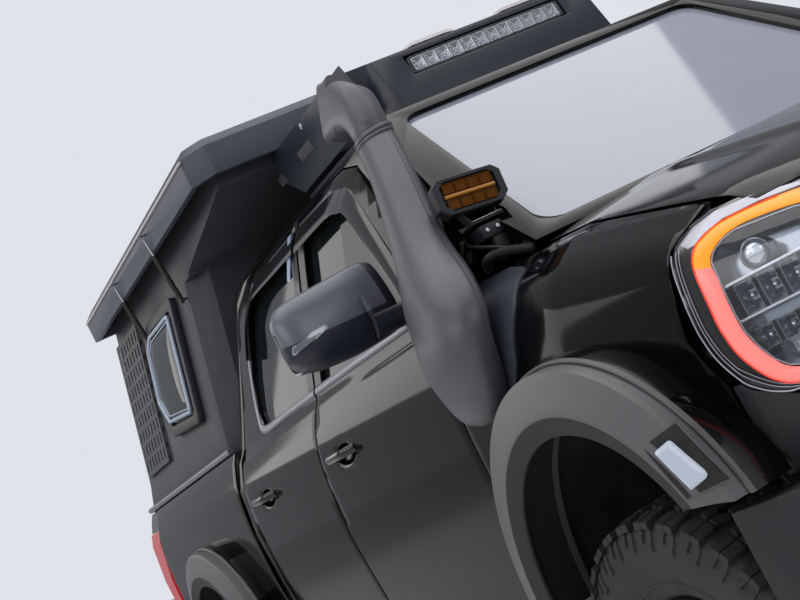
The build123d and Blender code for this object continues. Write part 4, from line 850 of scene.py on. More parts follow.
# Snorkel: stem rows of x, y, z, half length, half width; collar rows of height and swell;
# head rows of centre, direction, half height, half width
snorkelLook = {
    "points": 96, "stemRings": 56, "headRings": 30, "partingDepth": 0.030, "partingAngle": 0.35, "partingWidth": 0.035,
    "stem": [(1.470, -0.975, 1.128, 0.030, 0.018), (1.472, -0.976, 1.150, 0.082, 0.042),
             (1.478, -0.980, 1.200, 0.112, 0.056), (1.482, -0.981, 1.290, 0.140, 0.064),
             (1.478, -0.962, 1.370, 0.142, 0.072), (1.436, -0.930, 1.450, 0.126, 0.074),
             (1.350, -0.876, 1.555, 0.092, 0.063), (1.282, -0.830, 1.655, 0.076, 0.056),
             (1.215, -0.782, 1.763, 0.066, 0.053), (1.150, -0.742, 1.855, 0.060, 0.051),
             (1.112, -0.722, 1.905, 0.0575, 0.050)],
    "collar": [(0.0, -0.003), (0.004, 0.002), (0.009, 0.0035), (0.013, 0.002), (0.015, -0.002), (0.018, 0.002),
               (0.024, 0.0035), (0.030, 0.002), (0.033, -0.003)],
    "head": [(1.100, -0.714, 1.935, -0.38, 0.30, 0.88, 0.0575, 0.050),
             (1.082, -0.704, 1.975, -0.50, 0.22, 0.82, 0.059, 0.051),
             (1.046, -0.690, 2.024, -0.76, 0.10, 0.62, 0.064, 0.052),
             (0.990, -0.682, 2.052, -0.94, 0.04, 0.32, 0.070, 0.053),
             (0.935, -0.676, 2.063, -0.99, 0.02, 0.10, 0.077, 0.055),
             (0.900, -0.673, 2.070, -1.0, 0.02, 0.02, 0.087, 0.056)],
    "mouthWall": 0.004, "mouthDepth": 0.07, "mouthPower": 7.0,
    "lean": (0, 0.33, 0.94), "collarAlong": (-0.36, 0.28, 0.89),
    "farDropTop": 0.62, "farDropLow": 0.25, "farDraw": 0.30,
    "bars": 6, "lowBar": -0.070, "barPitch": 0.028, "barDepth": 0.012, "barRadius": 0.0022,
    "barReach": (-0.050, 0.0, 0.022, 0.044),
    "plate": [(1.330, 1.135), (1.560, 1.130), (1.640, 1.220), (1.672, 1.330), (1.640, 1.400), (1.52, 1.425),
              (1.34, 1.438), (1.300, 1.300)],
}


# A rounded ring with the parting line's groove in it
def pinchedRing(centre, u, v, halfU, halfV, power):
    look = snorkelLook
    ring = []
    for i in range(look["points"]):
        angle = 2 * math.pi * i / look["points"]
        c, s = math.cos(angle), math.sin(angle)
        offset = (angle - look["partingAngle"]) / look["partingWidth"]
        pinch = 1 - look["partingDepth"] * math.exp(-offset * offset)
        a = math.copysign(abs(c) ** (2 / power), c) * halfU * pinch
        b = math.copysign(abs(s) ** (2 / power), s) * halfV * pinch
        ring.append(centre + u * a + v * b)
    return ring


# The head's side towards the cab is lower and drawn in
def lowerFarSide(ring, centre, share):
    look = snorkelLook
    for point in ring:
        over = max(point.y - centre.y, 0.0) / look["head"][-1][7]
        drop = look["farDropTop"] if point.z > centre.z else look["farDropLow"]
        point.z = centre.z + (point.z - centre.z) * (1 - drop * share * min(over, 1.4))
        point.y -= max(point.y - centre.y, 0.0) * look["farDraw"] * share
    return ring


# Centre, direction, side and upward axis of a head row
def headFrame(row):
    direction = Vector(row[3:6]).normalized()
    side = direction.cross(Vector(snorkelLook["lean"])).normalized()
    return Vector(row[:3]), direction, side, side.cross(direction).normalized()


def makeSnorkel():
    look = snorkelLook
    rings = []
    for i in range(look["stemRings"] + 1):
        t = i / look["stemRings"]
        x, y, z, halfX, halfY = readCurve(look["stem"], t)
        rings.append(pinchedRing(Vector((x, y, z)), Vector((1, 0, 0.10 * t)), Vector((0.1 * t, 1, 0)),
                                 max(halfX, 0.01), max(halfY, 0.008), 2.5 - 0.3 * t))
    stemEnd = look["stem"][-1]
    along = Vector(look["collarAlong"]).normalized()
    for rise, swell in look["collar"]:
        rings.append(pinchedRing(Vector(stemEnd[:3]) + along * rise, Vector((1, 0, 0.10)), Vector((0.1, 1, 0)),
                                 stemEnd[3] + swell, stemEnd[4] + swell, 2.2))
    for i in range(look["headRings"] + 1):
        t = i / look["headRings"]
        row = readCurve(look["head"], t)
        centre, direction, side, raised = headFrame(row)
        turn = 1 - min(t * 2.2, 1.0)
        u = raised * (1 - turn) + Vector((1, 0, 0.35)) * turn
        u = (u - direction * u.dot(direction)).normalized()
        ring = pinchedRing(centre, u, direction.cross(u).normalized(), row[6], row[7], 2.2 + 4.8 * t * t)
        rings.append(lowerFarSide(ring, centre, t))

    # The mouth: its lip, then the wall inside it
    row = look["head"][-1]
    mouth, direction, side, raised = headFrame(row)
    across = direction.cross(raised).normalized()
    for inset, back in ((0.001, -0.002), (look["mouthWall"], -0.001), (look["mouthWall"], look["mouthDepth"])):
        centre = mouth - direction * back
        ring = pinchedRing(centre, raised, across, row[6] - inset, row[7] - inset, look["mouthPower"])
        rings.append(lowerFarSide(ring, centre, 1.0))
    addPiece("snorkelBody", skinRings("snorkel", rings), "snorkelSatin", "vehicle", ["snorkel"], 50.0)
    side = side if side.y > 0 else -side
    bars = []
    for i in range(look["bars"]):
        centre = mouth + raised * (look["lowBar"] + look["barPitch"] * i) - direction * look["barDepth"]
        line = [centre + side * reach for reach in look["barReach"]]
        bars.append(tubeAlong("bar", lowerFarSide(line, mouth, 1.0), look["barRadius"], 8))
    addPiece("snorkelGrid", joinMeshes("snorkelGrid", bars), "glossTrim", "vehicle")

    def onFender(x, z):
        return Vector((x, -noseHalfWidth(x, z) - 0.007, z))

    base = trimmedSkin("snorkelBase", roundedOutline(look["plate"], 0.05), [], steps(1.30, 1.68, 0.03),
                       steps(1.13, 1.44, 0.02), onFender, 0.010, 0.003)
    addPiece("snorkelBasePlate", base, "baseSatin", "vehicle")


makeSnorkel()

# Mirrors: rings across the head from its outer end to its inner one
mirrorLook = {
    "outerY": -1.195, "innerY": -0.868, "centreX": 1.052, "splitZ": 1.530, "halfX": 0.066, "upperZ": 0.120,
    "lowerZ": 0.098, "sweep": -0.030, "lean": -0.22, "stations": 72, "points": 96, "power": 3.6,
    "closeShare": 0.35, "closePower": 1.6, "roundShare": 0.30, "roundPower": 2.6,
    "grooveDepth": 0.0035, "grooveWidth": 0.0022, "seamY": -0.958, "seamDepth": 0.010, "seamWidth": 0.0045,
    "footY": -0.897, "paneX": 0.955,
    "pane": [(-1.165, 1.452), (-0.905, 1.446), (-0.895, 1.63), (-1.155, 1.622)],
    "signal": [(-1.188, 1.494), (-1.182, 1.512), (-1.120, 1.526), (-1.082, 1.529), (-1.080, 1.520), (-1.120, 1.508)],
}


# One ring of the head, at a share s of the way from its outer end to its inner one
def mirrorRing(s):
    look = mirrorLook
    y = look["outerY"] + (look["innerY"] - look["outerY"]) * s
    outer = max(1 - s / look["roundShare"], 0.0)
    swell = (1 - outer ** look["roundPower"]) ** (1 / look["roundPower"]) if outer < 1 else 0.02
    swell *= 1 - 0.12 * max((s - 0.90) / 0.10, 0.0) ** 2
    tall = 0.35 + 0.65 * swell if outer > 0.75 else swell ** 0.5
    upper = look["upperZ"] * (0.80 + 0.20 * min(s / 0.8, 1.0))
    lower = look["lowerZ"] * (0.86 + 0.14 * math.sin(math.pi * clamp(s)))
    unit = superRing(Vector((0, 0, 0)), Vector((1, 0, 0)), Vector((0, 0, 1)), 1, 1, look["power"], look["points"])
    ring = []
    for point in unit:
        dz = point.z * (upper if point.z > 0 else lower) * tall
        dx = point.x * look["halfX"] * swell
        lean = look["lean"] * max(dz, 0.0) if point.x > 0 else 0.0
        z = look["splitZ"] + dz
        groove = look["grooveDepth"] * math.exp(-((dz + 0.002) / look["grooveWidth"]) ** 2)
        if dz < 0:
            groove = max(groove, look["seamDepth"] * math.exp(-((y - look["seamY"]) / look["seamWidth"]) ** 2))
        x = look["centreX"] + look["sweep"] * s + dx * (1 - groove / look["halfX"]) + lean
        ring.append(Vector((x, y, z)))
    return ring


def makeMirrors():
    look = mirrorLook
    close, power, body = look["closeShare"], look["closePower"], "door_front_SIDE"
    rings = []
    for i in range(look["stations"] + 1):
        t = i / look["stations"]
        far = close ** power + (t - close) / (1 - close) * (1 - close ** power)
        rings.append(mirrorRing(t ** power if t < close else far))
    mesh = skinRings("mirrorHead", rings)
    shell = BVHTree.FromPolygons([v.co for v in mesh.vertices], [tuple(face.vertices) for face in mesh.polygons])
    # The upper half takes the light cap finish, a painted sky highlight; the lower half and the inner end keep the dark
    # shell
    withMaterials(mesh, "mirrorCap", "mirrorShell")
    for face in mesh.polygons:
        if face.center.z < look["splitZ"] - 0.001 or face.center.y > look["footY"]:
            face.material_index = 1
    bothSides("mirrorHead", mesh, body, ["mirror_SIDE"], 45.0)
    arm = skinRings("arm", [superRing(Vector((1.05 + 0.02 * t, -0.95 + 0.16 * t, 1.478 - 0.006 * t)),
                                      Vector((1, 0, 0)), Vector((0, 0.1, 1)), 0.052 - 0.012 * t,
                                      0.034 - 0.008 * t, 3.0, 40)
                            for t in (0.0, 0.2, 0.4, 0.6, 0.8, 1.0)])
    addPieceBoth("mirrorArm", arm, "mirrorShell", body)
    glass = trimmedSkin("mirrorPane", roundedOutline(look["pane"], 0.03), [], [], [],
                        lambda y, z: Vector((look["paneX"], y, z)), 0.004, 0.001)
    addPieceBoth("mirrorPane", facingOut(glass), "mirrorGlass", body)

    # The signal lamp lies on the head's front, found by a ray
    def onShell(y, z):
        hit = shell.ray_cast(Vector((2.0, y, z)), Vector((-1, 0, 0)))[0]
        return (hit or Vector((1.04, y, z))) + Vector((0.0022, -0.001, 0))

    outline = roundedOutline(look["signal"], 0.004)
    signal = trimmedSkin("signal", outline, [], steps(-1.19, -1.08, 0.006), steps(1.49, 1.53, 0.005),
                         onShell, 0.004, 0.001)
    addPieceBoth("mirrorSignal", signal, "lampCell", body)
    rim = tubeAlong("rim", [onShell(y, z) for y, z in outline], 0.0013, 8, closed=True)
    addPieceBoth("mirrorSignalRim", rim, "lampSilver", body)


makeMirrors()

# Wheel-arch flares: rows of radius and distance outwards, turned about the arch; the front pair holds a lamp
flareLook = {
    "rows": [(0.470, 0.902), (0.503, 0.902), (0.505, 0.910), (0.5055, 0.990), (0.505, 0.998), (0.502, 1.001),
             (0.4985, 1.0005), (0.4965, 0.997), (0.4960, 1.018), (0.4965, 1.030), (0.4955, 1.034), (0.493, 1.0355),
             (0.480, 1.0392), (0.465, 1.0435), (0.450, 1.0478), (0.435, 1.052), (0.420, 1.0555), (0.411, 1.0575),
             (0.4065, 1.058), (0.403, 1.0575), (0.396, 1.0555), (0.385, 1.053), (0.374, 1.0505), (0.366, 1.049),
             (0.3625, 1.047), (0.3615, 1.043), (0.363, 1.039), (0.374, 1.033), (0.392, 1.020), (0.402, 0.990),
             (0.404, 0.930), (0.408, 0.910), (0.440, 0.905)],
    "centreZ": 0.685, "lipRadius": 0.4050, "slant": 62.0, "slantFrom": 0.505, "rings": 180,
    "frontArc": (15.5, 182.0), "rearArc": (-4.0, 184.0), "skirtRadius": 0.500, "skirtY": 0.992,
    "faceY": 1.0355, "faceRadius": 0.493, "faceSlope": 0.26,
    "recess": [(2.137, 0.968), (2.2425, 0.986), (2.312, 0.861), (2.197, 0.853)],
    "lamp": [(2.163, 0.952), (2.213, 0.963), (2.273, 0.880), (2.216, 0.866)],
}


# Least distance inside a convex outline, below 0 outside it
def insideShape(point, shape):
    best = 1.0
    area = sum(shape[i - 1][0] * shape[i][1] - shape[i][0] * shape[i - 1][1] for i in range(len(shape)))
    for i in range(len(shape)):
        (x0, z0), (x1, z1) = shape[i - 1], shape[i]
        length = math.hypot(x1 - x0, z1 - z0)
        cross = ((x1 - x0) * (point[1] - z0) - (z1 - z0) * (point[0] - x0)) / length
        best = min(best, cross if area > 0 else -cross)
    return best


def makeFlare(place):
    look = flareLook
    start, end = look[place + "Arc"]
    rings = []
    for i in range(look["rings"] + 1):
        ring = []
        for radius, y in look["rows"]:
            slant = start + look["slant"] * (look["slantFrom"] - radius)
            angle = math.radians(slant + (end - slant) * i / look["rings"])
            x, z = axleX[place] + radius * math.cos(angle), look["centreZ"] + radius * math.sin(angle)
            ring.append(Vector((x, -y, z)))
        rings.append(ring)
    return skinRings("flare", rings)


def makeFlares():
    look = flareLook
    right = joinMeshes("flares", [makeFlare("front"), makeFlare("rear")])
    left = mirrorMesh("flaresLeft", right)
    both = withMaterials(joinMeshes("archFlares", [right, left]), "flareSatin", "flareReturn", "bodyGloss")
    for face in both.polygons:
        c = face.center
        radius = math.hypot(c.x - axleX["front" if c.x > 0 else "rear"], c.z - look["centreZ"])
        if radius < look["lipRadius"]:
            face.material_index = 1
        elif radius > look["skirtRadius"] and abs(c.y) < look["skirtY"]:
            face.material_index = 2
    addPiece("archFlares", both, None, "vehicle", ["flares"], 30.0)

    def onFace(x, z, raised=0.0):
        radius = math.hypot(x - axleX["front"], z - look["centreZ"])
        return Vector((x, -(look["faceY"] + look["faceSlope"] * (look["faceRadius"] - radius) + raised), z))

    def lensPlace(x, z):
        inside = clamp(insideShape((x, z), look["lamp"]) / 0.012)
        return onFace(x, z, 0.003 + 0.006 * inside ** 0.5)

    well = trimmedSkin("flareWell", roundedOutline(look["recess"], 0.008), [], steps(2.14, 2.31, 0.01),
                       steps(0.855, 0.985, 0.01), lambda x, z: onFace(x, z, 0.0012), 0.003, 0.0)
    addPieceBoth("flareLampWell", well, "linerPlastic", "vehicle")
    lens = trimmedSkin("flareLens", roundedOutline(look["lamp"], 0.010), [], steps(2.16, 2.275, 0.005),
                       steps(0.865, 0.965, 0.005), lensPlace, 0.005, 0.0015)
    addPieceBoth("flareLamp", lens, "flareLens", "vehicle")
    corners = look["recess"][1:] + look["recess"][:1]
    path = [onFace(a[0] + (b[0] - a[0]) * t / 6, a[1] + (b[1] - a[1]) * t / 6, 0.0014)
            for a, b in zip(corners, corners[1:]) for t in range(6)]
    addPieceBoth("flareLampEdge", tubeAlong("edge", path, 0.0018, 8), "trimGrey", "vehicle")


makeFlares()
print("snorkel, mirrors and flares done")


# Geometry Nodes: the input mesh copied round the Y axis
def makeRingTree():
    tree = bpy.data.node_groups.new("ringCopies", "GeometryNodeTree")
    for socketName, socketType in (("Geometry", "NodeSocketGeometry"), ("Count", "NodeSocketInt"),
                                   ("Material", "NodeSocketMaterial")):
        tree.interface.new_socket(socketName, in_out="INPUT", socket_type=socketType)
    tree.interface.new_socket("Geometry", in_out="OUTPUT", socket_type="NodeSocketGeometry")
    nodes, links = tree.nodes, tree.links
    start, end = nodes.new("NodeGroupInput"), nodes.new("NodeGroupOutput")
    points = nodes.new("GeometryNodePoints")
    links.new(start.outputs["Count"], points.inputs["Count"])
    index = nodes.new("GeometryNodeInputIndex")
    share = nodes.new("ShaderNodeMath")
    share.operation = "DIVIDE"
    links.new(index.outputs["Index"], share.inputs[0])
    links.new(start.outputs["Count"], share.inputs[1])
    turn = nodes.new("ShaderNodeMath")
    turn.operation = "MULTIPLY"
    turn.inputs[1].default_value = 2 * math.pi
    links.new(share.outputs["Value"], turn.inputs[0])
    spin = nodes.new("ShaderNodeCombineXYZ")
    links.new(turn.outputs["Value"], spin.inputs["Y"])
    rotation = nodes.new("FunctionNodeEulerToRotation")
    links.new(spin.outputs["Vector"], rotation.inputs["Euler"])
    copies = nodes.new("GeometryNodeInstanceOnPoints")
    links.new(points.outputs[0], copies.inputs["Points"])
    links.new(start.outputs["Geometry"], copies.inputs["Instance"])
    links.new(rotation.outputs["Rotation"], copies.inputs["Rotation"])
    real = nodes.new("GeometryNodeRealizeInstances")
    links.new(copies.outputs["Instances"], real.inputs["Geometry"])
    paint = nodes.new("GeometryNodeSetMaterial")
    links.new(real.outputs["Geometry"], paint.inputs["Geometry"])
    links.new(start.outputs["Material"], paint.inputs["Material"])
    links.new(paint.outputs["Geometry"], end.inputs["Geometry"])
    return tree


ringTree = makeRingTree()


def ringCopies(mesh, count, finish):
    obj = looseObject("ringSource", mesh)
    mod = obj.modifiers.new("ring", "NODES")
    mod.node_group = ringTree
    for item in ringTree.interface.items_tree:
        if item.item_type == "SOCKET" and item.in_out == "INPUT":
            if item.name == "Count":
                mod[item.identifier] = count
            elif item.name == "Material":
                mod[item.identifier] = finishes[finish]
    return bakeModifiers(obj)


# One block of tread: an outline of (angle, y) between two radii, its foot a little larger
def treadBlock(outline, low, high, flare=1.06):
    rings = []
    middle = (sum(a for a, y in outline) / len(outline), sum(y for a, y in outline) / len(outline))
    for radius, grow in ((low, flare), (high - 0.0015, 1.0), (high, 0.965)):
        ring = []
        for angle, y in outline:
            a = middle[0] + (angle - middle[0]) * grow
            b = middle[1] + (y - middle[1]) * grow
            drop = 0.010 * max((abs(b) - 0.100) / 0.040, 0.0) ** 2
            ring.append(Vector(((radius - drop) * math.sin(a), b, -(radius - drop) * math.cos(a))))
        rings.append(ring)
    return skinRings("block", rings)


# Tyre: carcass rows of radius and half width; tread blocks of (share of a pitch, y);
# side lugs of first and last share and radius
tyreLook = {
    "pitches": 32, "radius": 0.4155, "depth": 0.011, "turns": 160, "lugRaised": 0.0055,
    "blocks": [
        [(0.05, 0.094), (0.36, 0.090), (0.36, 0.136), (0.05, 0.138)],
        [(0.39, 0.092), (0.66, 0.098), (0.66, 0.138), (0.39, 0.136)],
        [(0.04, 0.052), (0.20, 0.046), (0.36, 0.060), (0.36, 0.084), (0.12, 0.086)],
        [(0.42, 0.058), (0.60, 0.040), (0.80, 0.046), (0.74, 0.076), (0.46, 0.082)],
        [(0.02, 0.006), (0.22, 0.002), (0.34, 0.018), (0.30, 0.038), (0.08, 0.040)],
        [(0.46, 0.010), (0.70, 0.004), (0.86, 0.016), (0.70, 0.034), (0.50, 0.044)],
    ],
    "lugs": [(0.08, 0.34, 0.345, 0.402), (0.46, 0.62, 0.362, 0.402)],
    "carcass": [(0.222, 0.096), (0.232, 0.112), (0.246, 0.122), (0.262, 0.128), (0.2635, 0.131), (0.268, 0.131),
                (0.270, 0.1285), (0.290, 0.134), (0.315, 0.1385), (0.340, 0.1400), (0.362, 0.1375), (0.380, 0.1320),
                (0.392, 0.1250), (0.3995, 0.1150), (0.4025, 0.1000), (0.4035, 0.0700), (0.4040, 0.0350)],
}


# A lug on the tyre's side, in the form of a Z
def sideLug(lug, side, pitch, shift):
    a0, a1, r0, r1 = lug
    raised = tyreLook["lugRaised"]
    line = ((r0, 0.06), (r0 + 0.012, 0.05), (r0 + 0.024, -0.02), (r1 - 0.014, 0.0), (r1, 0.0))
    n = len(line)
    verts = []
    for share, rise in ((0.0, 0.0), (0.12, raised), (0.88, raised), (1.0, 0.0)):
        for r, bend in line:
            a = (a0 + (a1 - a0) * share + bend) * pitch + shift
            y = side * (readRows(tyreLook["carcass"], r) + rise - 0.001)
            verts.append(Vector((r * math.sin(a), y, -r * math.cos(a))))
    faces = [(k * n + j, k * n + j + 1, (k + 1) * n + j + 1, (k + 1) * n + j) for k in range(3) for j in range(n - 1)]
    faces += [(0, n, 2 * n, 3 * n), (n - 1, 2 * n - 1, 3 * n - 1, 4 * n - 1)]
    faces.append(tuple(range(0, n)) + tuple(reversed(range(3 * n, 4 * n))))
    return facingOut(meshFrom("lug", verts, faces))


def makeTyreMesh():
    look = tyreLook
    right = look["carcass"]
    profile = right + [(0.4042, 0.0)] + [(r, -y) for r, y in reversed(right)]
    rings = []
    for i in range(look["turns"]):
        angle = 2 * math.pi * i / look["turns"]
        rings.append([Vector((r * math.sin(angle), y, -r * math.cos(angle))) for r, y in profile])
    rings.append(rings[0])
    carcass = skinRings("carcass", rings, closeEnds=False)
    pitch = 2 * math.pi / look["pitches"]
    high = look["radius"]
    low = high - look["depth"] - 0.004
    blocks = []
    for side in (1, -1):
        shift = 0 if side > 0 else pitch / 2
        for shape in look["blocks"]:
            outline = [(a * pitch + shift, side * y) for a, y in shape]
            if side < 0:
                outline.reverse()
            blocks.append(treadBlock(outline, low, high - (0.0012 if abs(shape[0][1]) > 0.09 else 0)))
        blocks += [sideLug(lug, side, pitch, shift) for lug in look["lugs"]]
    tread = ringCopies(joinMeshes("pitch", blocks), look["pitches"], "tyreRubber")
    return joinMeshes("tyre", [carcass, tread])


def placedWheel(mesh, name, x, side):
    work = bmesh.new()
    work.from_mesh(mesh)
    if side < 0:
        bmesh.ops.scale(work, vec=(1, -1, 1), verts=work.verts)
        bmesh.ops.reverse_faces(work, faces=work.faces)
    bmesh.ops.translate(work, vec=(x, side * wheelY, wheelZ), verts=work.verts)
    placed = bpy.data.meshes.new(name)
    work.to_mesh(placed)
    work.free()
    return placed


def makeTyres():
    tyre = makeTyreMesh()
    for place, x in axleX.items():
        for tag, side in (("right", -1), ("left", 1)):
            addPiece("tyre" + place.capitalize() + tag.capitalize(), placedWheel(tyre, "tyre", x, side), "tyreRubber",
                     "wheel_%s_%s" % (place, tag), ["tyre_%s_%s" % (place, tag)], 30.0)


makeTyres()
print("tyres done")


# Headlights: u runs along the nose's side to its corner, then across the front
lampLook = {
    "outer": [(2.226, 1.256), (2.240, 1.282), (2.270, 1.296), (2.334, 1.290), (2.452, 1.266), (2.540, 1.246),
              (2.632, 1.220), (2.720, 1.216), (2.800, 1.226), (2.872, 1.236), (2.888, 1.220), (2.888, 0.962),
              (2.870, 0.944), (2.600, 0.940), (2.400, 0.936), (2.345, 0.944), (2.301, 0.980), (2.262, 1.030),
              (2.246, 1.092), (2.242, 1.142), (2.238, 1.197)],
    "guideOuter": [(2.288, 1.230), (2.293, 1.246), (2.307, 1.257), (2.328, 1.265), (2.386, 1.262), (2.457, 1.251),
                   (2.540, 1.230), (2.632, 1.203), (2.720, 1.196), (2.805, 1.200)],
    "guideInner": [(2.805, 1.178), (2.720, 1.174), (2.632, 1.181), (2.540, 1.207), (2.466, 1.229), (2.399, 1.241),
                   (2.364, 1.243), (2.342, 1.237), (2.327, 1.224), (2.322, 1.206)],
    "sideOuter": [(2.288, 1.230), (2.291, 1.205), (2.298, 1.170), (2.301, 1.140), (2.302, 1.105), (2.305, 1.074),
                  (2.312, 1.038), (2.327, 1.002), (2.347, 0.972), (2.378, 0.952), (2.440, 0.950), (2.632, 0.956),
                  (2.805, 0.966)],
    "sideInner": [(2.805, 0.986), (2.632, 0.978), (2.450, 0.974), (2.398, 0.974), (2.374, 0.985), (2.359, 1.005),
                  (2.344, 1.038), (2.335, 1.070), (2.332, 1.104), (2.330, 1.140), (2.328, 1.176), (2.322, 1.206)],
    "opening": [(2.326, 1.208), (2.331, 1.222), (2.345, 1.234), (2.366, 1.239), (2.466, 1.225), (2.540, 1.203),
                (2.632, 1.177), (2.720, 1.170), (2.868, 1.174), (2.872, 0.990), (2.632, 0.982), (2.398, 0.978),
                (2.378, 0.987), (2.362, 1.006), (2.348, 1.038), (2.339, 1.070), (2.336, 1.104), (2.334, 1.140),
                (2.331, 1.180)],
    "wedge": [(2.246, 1.262), (2.262, 1.281), (2.300, 1.288), (2.360, 1.282), (2.452, 1.261), (2.540, 1.241),
              (2.540, 1.235), (2.457, 1.255), (2.386, 1.266), (2.328, 1.269), (2.307, 1.261), (2.290, 1.250),
              (2.272, 1.250)],
    "rimLine": [(2.226, 1.252), (2.238, 1.197), (2.243, 1.142), (2.248, 1.092), (2.264, 1.040), (2.302, 0.985),
                (2.345, 0.950), (2.400, 0.941), (2.600, 0.944)],
    "rimLines": [(0.0, 0.0015), (0.012, 0.0008), (0.020, 0.0007)],
    "cornerU": 2.615, "cornerRun": 0.05, "cornerDraw": 0.020, "bowlDepth": 0.055, "bowlMiddle": (2.55, 1.09),
    "guideSteps": 150, "amberEnd": 66,
    "shelves": [(1.156, 2.336, 2.600), (1.089, 2.338, 2.600)],
    "shelfRing": [(0.0015, 0.008), (-0.0015, 0.008), (-0.0015, 0.050), (0.0015, 0.050)],
    "cellRows": [(1.122, 0.029), (1.046, 0.020)], "cellFrom": 2.362, "cellPitch": 0.042,
    "bulb": [(0.006, 0.0), (0.006, 0.004), (0.0035, 0.008), (0.0, 0.0095)],
    "squareZ": 1.008, "squareFrom": 2.405, "squarePitch": 0.036,
    "projectorZ": 1.184, "projectors": (2.396, 2.505), "projectorDepth": 0.050,
    "tube": [(0.029, 0.0), (0.029, 0.036), (0.0275, 0.038), (0.024, 0.034), (0.022, 0.030)],
    "lens": [(0.0215, 0.026), (0.0215, 0.034), (0.0195, 0.040), (0.015, 0.044), (0.008, 0.0465), (0.0, 0.047)],
}


# Points at even distances along a smooth curve through a row of (u, v)
def evenLine(row, count):
    fine = [readCurve(row, k / 600) for k in range(601)]
    reach = [0.0]
    for a, b in zip(fine, fine[1:]):
        reach.append(reach[-1] + math.hypot(b[0] - a[0], b[1] - a[1]))
    line, i = [], 0
    for k in range(count + 1):
        target = reach[-1] * k / count
        while i < 599 and reach[i + 1] < target:
            i += 1
        line.append(fine[i])
    return line


def lampPlace(u, z, depth=0.0):
    look = lampLook
    if u <= look["cornerU"]:
        turn = math.radians(20 + 50 * clamp((u - 2.30) / 0.315))
        base = Vector((u, -noseHalfWidth(u, z), z))
    else:
        t = min((u - look["cornerU"]) / look["cornerRun"], 1.0)
        turn = math.radians(70 + 20 * t)
        wide = noseHalfWidth(look["cornerU"], z) - look["cornerDraw"] * (1 - math.cos(t * math.pi / 2))
        wide -= max(u - look["cornerU"] - look["cornerRun"], 0.0)
        base = Vector((look["cornerU"] + look["cornerDraw"] * math.sin(t * math.pi / 2), -wide, z))
    return base + Vector((-math.sin(turn), math.cos(turn), 0)) * depth


# A hollow four-sided reflector: mouth at the front, small floor at the back
def cellMesh(centre, u, v, halfU, halfV, depth, wall=0.0012, floor=0.3):
    back = u.cross(v).normalized() * -depth
    rings = []
    for scale, shift in ((1.0, 1.0), (1.0, 0.0), (1.0 - wall / halfU, 0.0), (floor, 0.86)):
        rings.append([centre + back * shift + u * (a * halfU * scale) + v * (b * halfV * scale)
                      for a, b in ((-1, -1), (1, -1), (1, 1), (-1, 1))])
    return skinRings("cell", rings)


# A turned solid: rows of radius and height along an axis
def turnedMesh(centre, axis, rows, sides=32):
    axis = axis.normalized()
    u = axis.orthogonal().normalized()
    rings = [superRing(centre + axis * height, u, axis.cross(u), max(radius, 0.0004), max(radius, 0.0004), 2.0, sides)
             for radius, height in rows]
    return skinRings("turned", rings)


